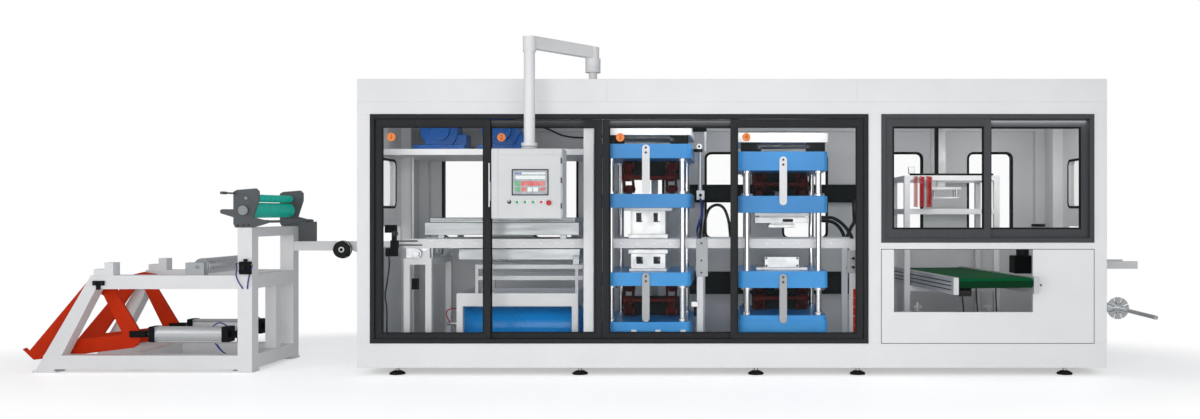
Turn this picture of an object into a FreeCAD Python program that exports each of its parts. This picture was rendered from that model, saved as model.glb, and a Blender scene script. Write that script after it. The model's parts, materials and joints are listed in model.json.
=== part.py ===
import FreeCAD, Part
import math
import os

from FreeCAD import Vector

os.makedirs("parts", exist_ok=True)

# A thermoforming line for plastic containers, seen from its operator's side. Sizes are in
# millimetres. While it is built, X = 0 is the middle of the cabinet, Y = 0 is the cabinet's
# front face and Z = 0 is the floor. +X follows the sheet and +Y goes from the operator to
# the back. The finished line is moved at the end so that X = Y = 0 is the middle of its box.

# Cabinet
MODULE = 2250.0
MODULES = 3
CABINET_LENGTH = MODULE * MODULES
CABINET_DEPTH = 1860.0
FOOT_HEIGHT = 66.0
FOOT_RADIUS = 70.0
SILL_TOP = 286.0
FLOOR_TOP = 166.0
FRONT_DEPTH = 80.0
WALL = 60.0
ROOF = 27.0
HEADER_BOTTOM = 2350.0
HEADER_BAND = 110.0
FASCIA_HEIGHT = 207.0
FASCIA_BOTTOM = HEADER_BOTTOM + HEADER_BAND
CABINET_TOP = FASCIA_BOTTOM + FASCIA_HEIGHT
SEAM = 0.8
GROOVE = 4.0
HALF = CABINET_LENGTH / 2
INNER_X = HALF - WALL
BACK_Y = CABINET_DEPTH - WALL
ROOF_BOTTOM = CABINET_TOP - ROOF

# The cabinet's left face, where the line's modules meet, and the feet under them
LEFT = -HALF
FIRST_SEAM = LEFT + MODULE
SECOND_SEAM = HALF - MODULE
FOOT_X = (LEFT + 342.0, FIRST_SEAM - 252.0, FIRST_SEAM + 1341.0, SECOND_SEAM + 13.0, HALF - 360.0)

# Front openings
DOORWAY_LEFT = LEFT + 117.0
DOORWAY_RIGHT = SECOND_SEAM + 103.0
WINDOW_LEFT = SECOND_SEAM + 219.0
WINDOW_RIGHT = HALF - 115.0
WINDOW_SILL = 1193.0
PANEL_TOP = 1134.0
FRAME_FACE = 40.0
GLAZING_PROUD = 8.0
SASH_DEPTH = 28.0
FRONT_TRACK = 8.0
REAR_TRACK = 46.0
STILE = 62.0
TOP_RAIL = 70.0
BOTTOM_RAIL = 50.0
GLASS = 6.0
GLASS_FIT = 0.3
SLIDE_FIT = 0.3
CLEARANCE = 5.0
DOOR_WIDTHS = (1035.0, 1063.0, 1226.0, 1197.0)
DOOR_LAP = 63.0
DOOR_JOINT = 6.0
DOOR_STOP = FRAME_FACE + CLEARANCE
DOOR_LEFTS = [DOORWAY_LEFT + DOOR_STOP]
DOOR_LEFTS.append(DOOR_LEFTS[0] + DOOR_WIDTHS[0] - DOOR_LAP)
DOOR_LEFTS.append(DOOR_LEFTS[1] + DOOR_WIDTHS[1] + DOOR_JOINT)
DOOR_LEFTS.append(DOORWAY_RIGHT - DOOR_STOP - DOOR_WIDTHS[3])
DOOR_EDGES = tuple((left, left + width) for left, width in zip(DOOR_LEFTS, DOOR_WIDTHS))
DOOR_TRACKS = (FRONT_TRACK, REAR_TRACK, REAR_TRACK, FRONT_TRACK)
OUTLET_LEFT = SECOND_SEAM + 333.0
OUTLET_RIGHT = SECOND_SEAM + 1584.0
OUTLET_BOTTOM = 568.0
PANEL_THICKNESS = 40.0

# Windows in the back and the ends
PANE_WIDTH = 470.0
PANE_BOTTOM = 1190.0
PANE_TOP = 2100.0
PANE_RADIUS = 60.0
BACK_PANES = (LEFT + 286.0, LEFT + 1252.0, FIRST_SEAM - 82.0, FIRST_SEAM + 842.0, FIRST_SEAM + 1671.0,
              SECOND_SEAM + 438.0, SECOND_SEAM + 1397.0)
END_PANE_Y = (350.0, 925.0)
END_PANE_Z = (1516.0, 1973.0)
SLOT_Y = (270.0, 1070.0)
SLOT_Z = (1130.0, 1330.0)

# Sheet path and chain rails
SHEET_Y = 680.0
RAIL_OFFSET = 350.0
RAIL_WIDTH = 40.0
RAIL_Z = (1133.0, 1220.0)
RAIL_X = (LEFT + 325.0, SECOND_SEAM + 515.0)

# Press stations, each (centre x, base top, crosshead bottom, crosshead top, top beam bottom,
# top beam top), and the platens' rest heights
PRESS_HALF_WIDTH = 408.0
PRESS_Y = (140.0, 1220.0)
COLUMN_X = 329.0
COLUMN_INSET = 90.0
COLUMN_RADIUS = 28.0
COLUMN_FIT = 0.3
CORNER_RADIUS = 45.0
BOSS_RADIUS = 56.0
BOSS_HEIGHT = 24.0
FORM_X = FIRST_SEAM + 340.0
TRIM_X = FIRST_SEAM + 1592.0
FORM_LEVELS = {"base": 464.0, "head": (1961.0, 2092.0), "beam": (2173.0, 2238.0),
               "upper": (1508.0, 1635.0), "lower": (794.0, 916.0)}
TRIM_LEVELS = {"base": 524.0, "head": (1848.0, 2021.0), "beam": (2106.0, 2191.0),
               "upper": (1461.0, 1616.0), "lower": (776.0, 928.0)}

# Toggle knuckles between crossheads, bases and platens
LINK = 150.0
PIVOT_DROP = 55.0
KNUCKLE_X = 205.0
EYE_RADIUS = 38.0
PIN_RADIUS = 18.0
PIN_FIT = 0.3
BLADE_HALF = 28.0
CHEEK_GAP = 5.0
CHEEK = 20.0

# Straps that steady the platens
STRAP_WIDTH = 68.0
STRAP_THICKNESS = 20.0
STRAP_GAP = 5.0

# Control arm and box
ARM_BASE = (FIRST_SEAM - 172.0, 350.0)
ARM_END = (FIRST_SEAM - 645.0, -280.0)
ARM_TUBE = (90.0, 110.0)
ARM_LEVEL = CABINET_TOP + 287.0
DRUM_RADIUS = 70.0
DRUM_SPLIT = CABINET_TOP + 148.0
DROP_RADIUS = 48.0
BOX_SIZE = (613.0, 250.0, 606.0)
BOX_BOTTOM = 1412.0
SWIVEL_SPLIT = BOX_BOTTOM + BOX_SIZE[2] + 27.0
SWIVEL_FIT = 0.3

# Stacker and take-off conveyor
STACKER_X = (SECOND_SEAM + 595.0, SECOND_SEAM + 1475.0)
STACKER_Y = (900.0, BACK_Y - 100.0)
STACKER_TOP = 1828.0
STACKER_TUBE = 56.0
CONVEYOR_REACH = 250.0
CONVEYOR_REAR_GAP = 168.5
CONVEYOR_YAW = 8.0
CONVEYOR_FRONT = (SECOND_SEAM + 1195.0, -CONVEYOR_REACH)
CONVEYOR_LENGTH = (BACK_Y - CONVEYOR_REAR_GAP + CONVEYOR_REACH) / math.cos(math.radians(CONVEYOR_YAW))
BELT_WIDTH = 682.0
BELT_RADIUS = 44.0
BELT_FIT = 4.0
SIDE_WIDTH = 48.0
SIDE_Z = (746.0, 896.0)
BELT_Z = 842.0

# Unwinder
UNWINDER_Y = (155.0, 1205.0)
TUBE = 130.0
POST_X = (LEFT - 1147.0, LEFT - 1015.0)
POST_TOP = 1326.0
MID_Z = (764.0, 889.0)
LOW_Z = (30.0, 156.0)
MID_LEFT = LEFT - 2475.0
ARM_Y = 316.0
ARM_PLATE = 30.0
LIFT_PIVOT = (LEFT - 2414.0, 812.0)
LIFT_EYE_X = LEFT - 2185.0
FORK_DEPTH = 90.0
CYLINDER_REAR = (LEFT - 1215.0, 335.0)
CYLINDER_RADIUS = 70.0
CYLINDER_X = (LEFT - 2021.0, LEFT - 1285.0)
ROD_RADIUS = 16.0
ROD_FIT = 0.3
NIP_AXIS = (LEFT - 1090.0, 1485.0)
NIP_RADIUS = 71.0
CROWN_AXIS_X = LEFT - 1072.0
CROWN_RADIUS = 36.0
NIP_PLATE = 25.0
SHAFT_RADIUS = 16.0
SHAFT_FIT = 0.3
BEAM_Z = (1083.0, 1175.0)
BEAM_Y = (1085.0, 1150.0)
WHEEL_AT = (LEFT - 508.0, 1095.0)
WHEEL_RADIUS = 90.0
SUPPORT_AXIS = (LEFT - 1525.0, 966.0)
SUPPORT_RADIUS = 76.0

# Scrap winding at the outfeed
MANDREL_AT = (HALF + 462.0, 513.0)
MANDREL_RADIUS = 19.0
FLANGE_RADIUS = 109.0
FLANGE_Y = 1000.0
MANDREL_TIP = 50.0
GUIDE_Z = (933.0, 1003.0)
GUIDE_REACH = HALF + 456.0
GUIDE_Y = (470.0, 860.0)


def box(x, y, z):
    """A block between the low and high values of each axis."""
    corner = Vector(x[0], y[0], z[0])
    return Part.makeBox(x[1] - x[0], y[1] - y[0], z[1] - z[0], corner)


def rod(start, end, radius):
    """A round bar from one point to another."""
    a, b = Vector(*start), Vector(*end)
    return Part.makeCylinder(radius, (b - a).Length, a, b - a)


def rod_y(at, y, radius):
    """A round bar along Y, where at is its X and Z."""
    return rod((at[0], y[0], at[1]), (at[0], y[1], at[1]), radius)


def rod_z(at, z, radius):
    """A round bar along Z, where at is its X and Y."""
    return rod((at[0], at[1], z[0]), (at[0], at[1], z[1]), radius)


def rod_x(x, at, radius):
    """A round bar along X, where at is its Y and Z."""
    return rod((x[0], at[0], at[1]), (x[1], at[0], at[1]), radius)


def plate_y(outline, y):
    """An XZ outline made as thick as the stretch of Y."""
    points = [Vector(px, y[0], pz) for px, pz in outline]
    wire = Part.makePolygon(points + points[:1])
    return Part.Face(wire).extrude(Vector(0, y[1] - y[0], 0))


def upstream(outline):
    """An outline given from the cabinet's left face, in the line's own X."""
    return tuple((LEFT + x, z) for x, z in outline)


def fuse(shapes):
    """All the shapes as one solid, with the seams between flush faces removed."""
    shapes = list(shapes)
    return shapes[0].fuse(shapes[1:]).removeSplitter() if len(shapes) > 1 else shapes[0]


def group(shapes):
    """Separate solids that share one node."""
    return Part.makeCompound(list(shapes))


def rounded(shape, direction, radius):
    """The shape with its edges along one direction rounded."""
    edges = [edge for edge in shape.Edges
             if edge.Curve.TypeId == "Part::GeomLine"
             and abs(edge.tangentAt(edge.FirstParameter).dot(direction)) > 0.999]
    return shape.makeFillet(radius, edges)


def ring(x, z, y, face):
    """A rectangular frame of one face width, standing in the XZ plane."""
    inner = (x[0] + face, x[1] - face)
    return box(x, y, z).cut(box(inner, (y[0] - 1, y[1] + 1), (z[0] + face, z[1] - face)))


def mirrored_y(shape, middle):
    """A copy of the shape on the other side of the plane Y = middle."""
    return shape.mirror(Vector(0, middle, 0), Vector(0, 1, 0))


# Cabinet shell

def base_frame():
    """The sill beams all round, the cross beams and the floor sheet."""
    z = (FOOT_HEIGHT, SILL_TOP)
    low = (FOOT_HEIGHT, FLOOR_TOP)
    parts = [box((-HALF, HALF), (0, FRONT_DEPTH), z), box((-HALF, HALF), (BACK_Y, CABINET_DEPTH), z)]
    for x in (-HALF, INNER_X):
        parts.append(box((x, x + WALL), (FRONT_DEPTH, BACK_Y), z))
    parts.append(box((-INNER_X, INNER_X), (FRONT_DEPTH, BACK_Y), (FLOOR_TOP - 10, FLOOR_TOP)))
    for x in FOOT_X[1:-1]:
        parts.append(box((x - 50, x + 50), (FRONT_DEPTH, BACK_Y), low))
    return fuse(parts)


def levelling_feet():
    """Round machine feet under the front and the back beam, each a pad and its screw."""
    profile = [(0, 0), (FOOT_RADIUS, 0), (FOOT_RADIUS, 14), (38, 32), (18, 36), (18, FOOT_HEIGHT),
               (0, FOOT_HEIGHT)]
    points = [Vector(r, 0, z) for r, z in profile]
    face = Part.Face(Part.makePolygon(points + points[:1]))
    foot = face.revolve(Vector(0, 0, 0), Vector(0, 0, 1), 360)
    feet = []
    for x in FOOT_X:
        for y in (FOOT_RADIUS + 2, CABINET_DEPTH - FOOT_RADIUS - 2):
            feet.append(foot.translated(Vector(x, y, 0)))
    return group(feet)


def roof():
    """The roof pans, and the flange, tube and lower drum that carry the control arm."""
    sheet = box((-HALF, HALF), (FRONT_DEPTH, CABINET_DEPTH), (ROOF_BOTTOM, CABINET_TOP))
    for index in range(1, MODULES):
        seam = -HALF + index * MODULE
        groove = box((seam - GROOVE / 2, seam + GROOVE / 2), (FRONT_DEPTH - 1, CABINET_DEPTH + 1),
                     (CABINET_TOP - 3, CABINET_TOP + 1))
        sheet = sheet.cut(groove)
    flange = rod_z(ARM_BASE, (CABINET_TOP, CABINET_TOP + 14), 95)
    tube = rod_z(ARM_BASE, (CABINET_TOP, CABINET_TOP + 100), 38)
    drum = rod_z(ARM_BASE, (CABINET_TOP + 100, DRUM_SPLIT), DRUM_RADIUS)
    return fuse([sheet, flange, tube, drum])


def front_header():
    """The white band over the doors and the fascia above it, grooved between the modules."""
    body = box((-HALF, HALF), (0, FRONT_DEPTH), (HEADER_BOTTOM, CABINET_TOP))
    cuts = [box((-HALF - 1, HALF + 1), (-1, 3), (FASCIA_BOTTOM - GROOVE / 2, FASCIA_BOTTOM + GROOVE / 2))]
    for index in range(1, MODULES):
        seam = -HALF + index * MODULE
        cuts.append(box((seam - GROOVE / 2, seam + GROOVE / 2), (-1, 3), (FASCIA_BOTTOM, CABINET_TOP + 1)))
    return body.cut(cuts)


def front_posts():
    """The posts beside the doorway and the window, and the band under the window."""
    y = (0, FRONT_DEPTH)
    z = (SILL_TOP, HEADER_BOTTOM)
    left = box((-HALF, DOORWAY_LEFT), y, z)
    middle = box((DOORWAY_RIGHT, WINDOW_LEFT), y, z)
    right = box((WINDOW_RIGHT, HALF), y, z)
    band = box((WINDOW_LEFT, WINDOW_RIGHT), y, (PANEL_TOP, WINDOW_SILL))
    return group([left, fuse([middle, band, right])])


def pane_outline_cut(x, z, y):
    """A block with rounded corners that stands for one window's opening."""
    return rounded(box(x, y, z), Vector(0, 1, 0), PANE_RADIUS)


def end_pane(x, fit):
    """An end wall's window opening or its pane, less the glazing fit."""
    y = (END_PANE_Y[0] + fit, END_PANE_Y[1] - fit)
    z = (END_PANE_Z[0] + fit, END_PANE_Z[1] - fit)
    return rounded(box(x, y, z), Vector(1, 0, 0), PANE_RADIUS - fit)


def end_walls():
    """Both end walls, each with a window and the slot that the sheet passes."""
    walls = []
    for x in ((-HALF, -INNER_X), (INNER_X, HALF)):
        wide = (x[0] - 1, x[1] + 1)
        wall = box(x, (FRONT_DEPTH, BACK_Y), (SILL_TOP, ROOF_BOTTOM))
        walls.append(wall.cut([end_pane(wide, 0), box(wide, SLOT_Y, SLOT_Z)]))
    return group(walls)


def back_wall():
    """The back wall with its row of round-cornered windows."""
    wall = box((-HALF, HALF), (BACK_Y, CABINET_DEPTH), (SILL_TOP, ROOF_BOTTOM))
    cuts = [pane_outline_cut((x, x + PANE_WIDTH), (PANE_BOTTOM, PANE_TOP), (BACK_Y - 1, CABINET_DEPTH + 1))
            for x in BACK_PANES]
    return wall.cut(cuts)


def glass_sheet(x, z, y_middle):
    """A flat sheet of glass standing in the XZ plane, less its fit in the frame."""
    y = (y_middle - GLASS / 2, y_middle + GLASS / 2)
    return box((x[0] + GLASS_FIT, x[1] - GLASS_FIT), y, (z[0] + GLASS_FIT, z[1] - GLASS_FIT))


def window_panes():
    """The fixed panes of the back and end walls and of the window over the outlet."""
    panes = []
    middle = BACK_Y + WALL / 2
    for x in BACK_PANES:
        pane = box((x + GLASS_FIT, x + PANE_WIDTH - GLASS_FIT), (middle - GLASS / 2, middle + GLASS / 2),
                   (PANE_BOTTOM + GLASS_FIT, PANE_TOP - GLASS_FIT))
        panes.append(rounded(pane, Vector(0, 1, 0), PANE_RADIUS - GLASS_FIT))
    for x in (-HALF + WALL / 2, HALF - WALL / 2):
        panes.append(end_pane((x - GLASS / 2, x + GLASS / 2), GLASS_FIT))
    for (x, z), track in zip(window_lights(), (FRONT_TRACK, REAR_TRACK)):
        panes.append(glass_sheet(x, z, track + SASH_DEPTH / 2))
    return group(panes)


def window_sash_edges():
    """The X stretch of the window's left and right sash."""
    left = WINDOW_LEFT + FRAME_FACE
    right = WINDOW_RIGHT - FRAME_FACE
    meeting = (left + right) / 2
    return ((left, meeting + STILE / 2), (meeting - STILE / 2, right))


def window_lights():
    """The glazed X and Z stretch of each window sash."""
    z = (WINDOW_SILL + FRAME_FACE + BOTTOM_RAIL + 30, HEADER_BOTTOM - FRAME_FACE - TOP_RAIL)
    return [((x[0] + STILE, x[1] - STILE), z) for x in window_sash_edges()]


def glazing_frames():
    """The dark aluminium frames of the doorway and the window, with the window's two sashes."""
    y = (-GLAZING_PROUD, FRONT_DEPTH)
    doorway = ring((DOORWAY_LEFT, DOORWAY_RIGHT), (SILL_TOP, HEADER_BOTTOM), y, FRAME_FACE)
    window = ring((WINDOW_LEFT, WINDOW_RIGHT), (WINDOW_SILL, HEADER_BOTTOM), y, FRAME_FACE)
    parts = [window]
    z = (WINDOW_SILL + FRAME_FACE, HEADER_BOTTOM - FRAME_FACE)
    for x, (light_x, light_z), track in zip(window_sash_edges(), window_lights(),
                                            (FRONT_TRACK, REAR_TRACK)):
        sash = box(x, (track, track + SASH_DEPTH), z)
        hole = box(light_x, (track - 1, track + SASH_DEPTH + 1), light_z)
        parts.append(sash.cut(hole))
    return group([doorway, fuse(parts)])


def door_levels():
    """The bottom and top of a sliding door in the doorway's frame."""
    return (SILL_TOP + FRAME_FACE + SLIDE_FIT, HEADER_BOTTOM - FRAME_FACE - CLEARANCE)


def sliding_door(edges, track):
    """One sliding door: its aluminium sash and the sheet of glass in it."""
    z = door_levels()
    light_x = (edges[0] + STILE, edges[1] - STILE)
    light_z = (z[0] + BOTTOM_RAIL, z[1] - TOP_RAIL)
    y = (track, track + SASH_DEPTH)
    sash = box(edges, y, z).cut(box(light_x, (y[0] - 1, y[1] + 1), light_z))
    return group([sash, glass_sheet(light_x, light_z, track + SASH_DEPTH / 2)])


def access_panel():
    """The panel under the window, notched where the conveyor comes out."""
    x = (WINDOW_LEFT + SEAM, WINDOW_RIGHT - SEAM)
    z = (SILL_TOP + SEAM, PANEL_TOP - SEAM)
    panel = box(x, (0, PANEL_THICKNESS), z)
    notch = box((OUTLET_LEFT, OUTLET_RIGHT), (-1, PANEL_THICKNESS + 1), (OUTLET_BOTTOM, PANEL_TOP))
    return panel.cut(notch)


# Inside the cabinet

SHELF_Y = (500.0, BACK_Y)
SHELF_Z = (HEADER_BOTTOM - 340.0, HEADER_BOTTOM - 283.0)
SHELF_RIGHT = FIRST_SEAM - 280.0
INNER_POST = (FIRST_SEAM - 224.0, FIRST_SEAM - 133.0)
END_POST = 100.0
BACK_RAIL_Z = (HEADER_BOTTOM - 25.0, HEADER_BOTTOM)


def inner_frame():
    """The posts inside the shell, the rail along the back and the blower shelf."""
    z = (FLOOR_TOP, ROOF_BOTTOM)
    parts = []
    for x in ((-INNER_X, -INNER_X + END_POST), (INNER_X - END_POST, INNER_X)):
        parts.append(box(x, (BACK_Y - END_POST, BACK_Y), z))
        parts.append(box(x, (1083, 1183), z))
    parts.append(box((-INNER_X, INNER_X), (BACK_Y - END_POST, BACK_Y - END_POST + 40), BACK_RAIL_Z))
    parts.append(box(INNER_POST, (FRONT_DEPTH + 10, FRONT_DEPTH + 70), z))
    parts.append(box((-INNER_X, SHELF_RIGHT), SHELF_Y, SHELF_Z))
    return group([fuse(parts[:5] + parts[6:]), parts[5]])


def cable_tray():
    """The black cable trunking along the back wall behind the presses."""
    return box((FIRST_SEAM + 678, SECOND_SEAM + 216), (BACK_Y - 90, BACK_Y), (1570, 1760))


BLOWER_RADIUS = 148.0
BLOWER_GROWTH = 0.32
BLOWER_AXIS_RISE = BLOWER_RADIUS * 1.23
BLOWER_Y = (660.0, 880.0)
SCROLL_STEPS = 18
BLOWERS = ((LEFT + 325.0, LEFT + 815.0), (LEFT + 945.0, LEFT + 1375.0))


def scroll(axis, y, radius, growth):
    """A blower's spiral casing round an axis along Y, with its outlet facing up on the left."""
    centre_x, centre_z = axis
    points = []
    for step in range(SCROLL_STEPS + 1):
        angle = math.radians(90 - 270 * step / SCROLL_STEPS)
        reach = radius * (1 + growth * step / SCROLL_STEPS)
        points.append((centre_x + reach * math.cos(angle), centre_z + reach * math.sin(angle)))
    points.append((points[-1][0], centre_z + radius))
    return plate_y(points, y)


def heater_blowers():
    """The two blue blowers on the shelf: a scroll casing, its inlet ring, motor and foot."""
    housings = []
    for x in BLOWERS:
        middle = (x[0] + x[1]) / 2
        axis = (middle, SHELF_Z[1] + BLOWER_AXIS_RISE)
        casing = scroll(axis, BLOWER_Y, BLOWER_RADIUS, BLOWER_GROWTH)
        inlet = rod_y(axis, (BLOWER_Y[0] - 34, BLOWER_Y[0]), BLOWER_RADIUS * 0.62)
        motor = rod_y(axis, (BLOWER_Y[1], BLOWER_Y[1] + 220), BLOWER_RADIUS * 0.55)
        foot = box(x, (BLOWER_Y[0] - 60, BLOWER_Y[1] + 200), (SHELF_Z[1], SHELF_Z[1] + 46))
        duct = box((axis[0], x[1]), (BLOWER_Y[0] + 20, BLOWER_Y[1] - 20), (SHELF_Z[1] + 46, SHELF_Z[1] + 150))
        housings.append(fuse([casing, inlet, motor, foot, duct]))
    return group(housings)


TANK_STAND_X = (LEFT + 817.0, FIRST_SEAM - 304.0)
STAND_LEG = 58.0
TANK_STAND_TOP = 714.0
INFEED_X = (LEFT + 325.0, LEFT + 585.0)
RAIL_Y = (SHEET_Y - RAIL_OFFSET, SHEET_Y + RAIL_OFFSET)
STAND_Y = (RAIL_Y[0] - STAND_LEG / 2, RAIL_Y[1] + STAND_LEG / 2)
RAIL_POST_X = (FORM_X + PRESS_HALF_WIDTH + 80, TRIM_X + PRESS_HALF_WIDTH + 245)
RUNNER_X = (LEFT + 987.0, FIRST_SEAM - 260.0)
RUNNER_LEVELS = tuple((RAIL_Z[0] - drop, RAIL_Z[0] - drop + 40) for drop in (297, 193))


def stand(x, y, top, leg, beam):
    """A welded stand of four legs and a ring of beams."""
    parts = []
    for leg_x in (x[0], x[1] - leg):
        for leg_y in (y[0], y[1] - leg):
            parts.append(box((leg_x, leg_x + leg), (leg_y, leg_y + leg), (FLOOR_TOP, top)))
    for leg_y in (y[0], y[1] - leg):
        parts.append(box(x, (leg_y, leg_y + leg), (top - beam, top)))
    for leg_x in (x[0], x[1] - leg):
        parts.append(box((leg_x, leg_x + leg), y, (top - beam, top)))
    return parts


def toothed_wheel(axis, y, radius, teeth):
    """A chain sprocket with its axis along Y, its teeth drawn as one outline."""
    points = []
    for index in range(teeth):
        for share, reach in ((-0.28, 0.86), (-0.12, 1.0), (0.12, 1.0), (0.28, 0.86)):
            angle = 2 * math.pi * (index + share) / teeth
            arm = radius * reach
            points.append((axis[0] + arm * math.cos(angle), axis[1] + arm * math.sin(angle)))
    return plate_y(points, y)


INFEED_TOP = 1040.0
SPROCKET_AT = (INFEED_X[0] + 130.0, 1082.0)
SPROCKET_RADIUS = 48.0
SPROCKET_TEETH = 15


def machine_stands():
    """The white stands under the infeed sprockets and the heaters."""
    tank = stand(TANK_STAND_X, STAND_Y, TANK_STAND_TOP, STAND_LEG, 121)
    infeed = stand(INFEED_X, STAND_Y, INFEED_TOP, STAND_LEG, 60)
    for y in RAIL_Y:
        x = (INFEED_X[0] + 20, INFEED_X[1] - 20)
        infeed.append(box(x, (y - 16, y + 16), (INFEED_TOP, RAIL_Z[0])))
        infeed.append(rod_y(SPROCKET_AT, (y - 60, y - 16), SPROCKET_RADIUS * 0.5))
        infeed.append(toothed_wheel(SPROCKET_AT, (y - 46, y - 34), SPROCKET_RADIUS, SPROCKET_TEETH))
    infeed.append(rod_y(SPROCKET_AT, RAIL_Y, 15))
    posts = {}
    for x in RAIL_POST_X:
        for y in RAIL_Y:
            posts[x, y] = box((x - 30, x + 30), (y - 20, y + 20), (FLOOR_TOP, RAIL_Z[0]))
    front = RAIL_Y[0] - 20
    left, right = ((x, RAIL_Y[0]) for x in RAIL_POST_X)
    shield = box((left[0] - 37, left[0] + 73), (front - 8, front), (871, RAIL_Z[1]))
    valve = box((right[0] - 52, right[0] + 44), (front - 34, front), (905, 1113))
    posts[left] = posts[left].fuse(shield)
    posts[right] = posts[right].fuse(valve)
    return group([fuse(tank), fuse(infeed)] + list(posts.values()))


UPPER_HEATER_Y = (300.0, 1060.0)
LOWER_HEATER_Y = (360.0, 1000.0)
UPPER_HEATER_Z = (RAIL_Z[1] + 35, RAIL_Z[1] + 152)
HEATER_COVER_TOP = RAIL_Z[1] + 194
LOWER_HEATER_Z = (RAIL_Z[0] - 110, RAIL_Z[0] - 8)


def heaters():
    """The upper and the lower heater bank, one over and one under the sheet."""
    x = (LEFT + 522.0, FIRST_SEAM - 295.0)
    y = UPPER_HEATER_Y
    cover_z = (UPPER_HEATER_Z[1], HEATER_COVER_TOP)
    upper = [box(x, y, UPPER_HEATER_Z), box((x[0] + 40, x[1] - 40), (y[0] + 40, y[1] - 40), cover_z)]
    lower = [box((x[0] + 300, x[1]), LOWER_HEATER_Y, LOWER_HEATER_Z)]
    for foot_x in (x[0] + 120, x[1] - 180):
        for rail in RAIL_Y:
            upper.append(box((foot_x, foot_x + 60), (rail - 16, rail + 16), (RAIL_Z[1], UPPER_HEATER_Z[0])))
    for foot_x in (LEFT + 1075, FIRST_SEAM - 355):
        for rail in RAIL_Y:
            span = (rail - 12, LOWER_HEATER_Y[0] + 12)
            if rail > SHEET_Y:
                span = (LOWER_HEATER_Y[1] - 12, rail + 12)
            z = (RUNNER_LEVELS[1][1], LOWER_HEATER_Z[0] + 37)
            lower.append(box((foot_x, foot_x + 60), span, z))
    return group([fuse(upper), fuse(lower)])


def chain_rails():
    """The two chain rails, and the runners under the lower heater with their end plates."""
    solids = []
    for y in RAIL_Y:
        rail = box(RAIL_X, (y - RAIL_WIDTH / 2, y + RAIL_WIDTH / 2), RAIL_Z)
        solids.append(rail)
        bars = [box(RUNNER_X, (y - 15, y + 15), z) for z in RUNNER_LEVELS]
        for x in (RUNNER_X[0], TANK_STAND_X[1] - 30):
            bars.append(box((x, x + 30), (y - 15, y + 15), (TANK_STAND_TOP, RUNNER_LEVELS[1][1])))
        solids.append(fuse(bars))
    return group(solids)


TANK_RADIUS = 200.0
TANK_X = (LEFT + 735.0, FIRST_SEAM - 275.0)
TANK_Z = FLOOR_TOP + 202.0


def air_tank():
    """The lying air tank with dished ends, on two saddles."""
    length = TANK_X[1] - TANK_X[0]
    dish = 60.0
    barrel = rod_x((TANK_X[0] + dish, TANK_X[1] - dish), (SHEET_Y, TANK_Z), TANK_RADIUS)
    steps = ((0, 1.0), (0.3, 0.93), (0.72, 0.6), (0.92, 0.3), (1.0, 0))
    points = [Vector(dish * along, 0, TANK_RADIUS * share) for along, share in steps] + [Vector(0, 0, 0)]
    cap = Part.Face(Part.makePolygon(points + points[:1])).revolve(Vector(0, 0, 0), Vector(1, 0, 0), 360)
    right = cap.translated(Vector(TANK_X[1] - dish, SHEET_Y, TANK_Z))
    left = right.mirror(Vector(TANK_X[0] + length / 2, 0, 0), Vector(1, 0, 0))
    saddles = []
    for x in (TANK_X[0] + 250, TANK_X[1] - 310):
        saddles.append(box((x, x + 60), (SHEET_Y - 130, SHEET_Y + 130), (FLOOR_TOP, TANK_Z)))
    return fuse([barrel, left, right] + saddles)


# Press stations

def column_places(centre):
    """The X and Y of a station's four columns."""
    return [(centre + side * COLUMN_X, y) for side in (-1, 1)
            for y in (PRESS_Y[0] + COLUMN_INSET, PRESS_Y[1] - COLUMN_INSET)]


def column_holes(centre, z):
    """The bores that a station's columns pass through."""
    return [rod_z(place, (z[0] - 1, z[1] + 1), COLUMN_RADIUS + COLUMN_FIT) for place in column_places(centre)]


def press_block(centre, z, inset=0):
    """A platen, crosshead or base block with rounded upright corners, set in all round by inset."""
    half = PRESS_HALF_WIDTH - inset
    block = box((centre - half, centre + half), (PRESS_Y[0] + inset, PRESS_Y[1] - inset), z)
    return rounded(block, Vector(0, 0, 1), CORNER_RADIUS)


def knuckle_sides(centre):
    """The X centre of the left and the right knuckle of a station."""
    return (centre - KNUCKLE_X, centre + KNUCKLE_X)


def eye_bracket(centre, pivot_z, face_z, outer):
    """The ears and pin that hold one end of both knuckles on a press block."""
    parts = []
    reach = EYE_RADIUS if pivot_z > face_z else -EYE_RADIUS
    inner = BLADE_HALF + CHEEK_GAP
    for middle in knuckle_sides(centre):
        if outer:
            ears = ((middle - inner - CHEEK, middle - inner), (middle + inner, middle + inner + CHEEK))
        else:
            ears = ((middle - BLADE_HALF, middle + BLADE_HALF),)
        low, high = min(face_z, pivot_z), max(face_z, pivot_z)
        for x in ears:
            parts.append(box(x, (SHEET_Y - EYE_RADIUS, SHEET_Y + EYE_RADIUS), (low, high)))
            parts.append(rod_x(x, (SHEET_Y, pivot_z), abs(reach)))
        pin = (middle - inner - CHEEK - 6, middle + inner + CHEEK + 6)
        parts.append(rod_x(pin, (SHEET_Y, pivot_z), PIN_RADIUS))
    return parts


def rest_angle(gap):
    """The knuckle's fold from straight, in radians, for the gap between two pivots."""
    return math.acos(gap / (2 * LINK))


class Half:
    """One toggle drive: the pivot on the fixed block, the pivot on the platen, and the knee."""

    def __init__(self, centre, fixed_face, platen_face, direction):
        self.centre = centre
        self.direction = direction
        self.fixed_face = fixed_face
        self.platen_face = platen_face
        self.fixed_z = fixed_face + direction * PIVOT_DROP
        self.platen_z = platen_face - direction * PIVOT_DROP
        self.fold = rest_angle(abs(self.platen_z - self.fixed_z))
        self.knee_y = SHEET_Y - LINK * math.sin(self.fold)
        self.knee_z = self.fixed_z + direction * LINK * math.cos(self.fold)


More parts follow.
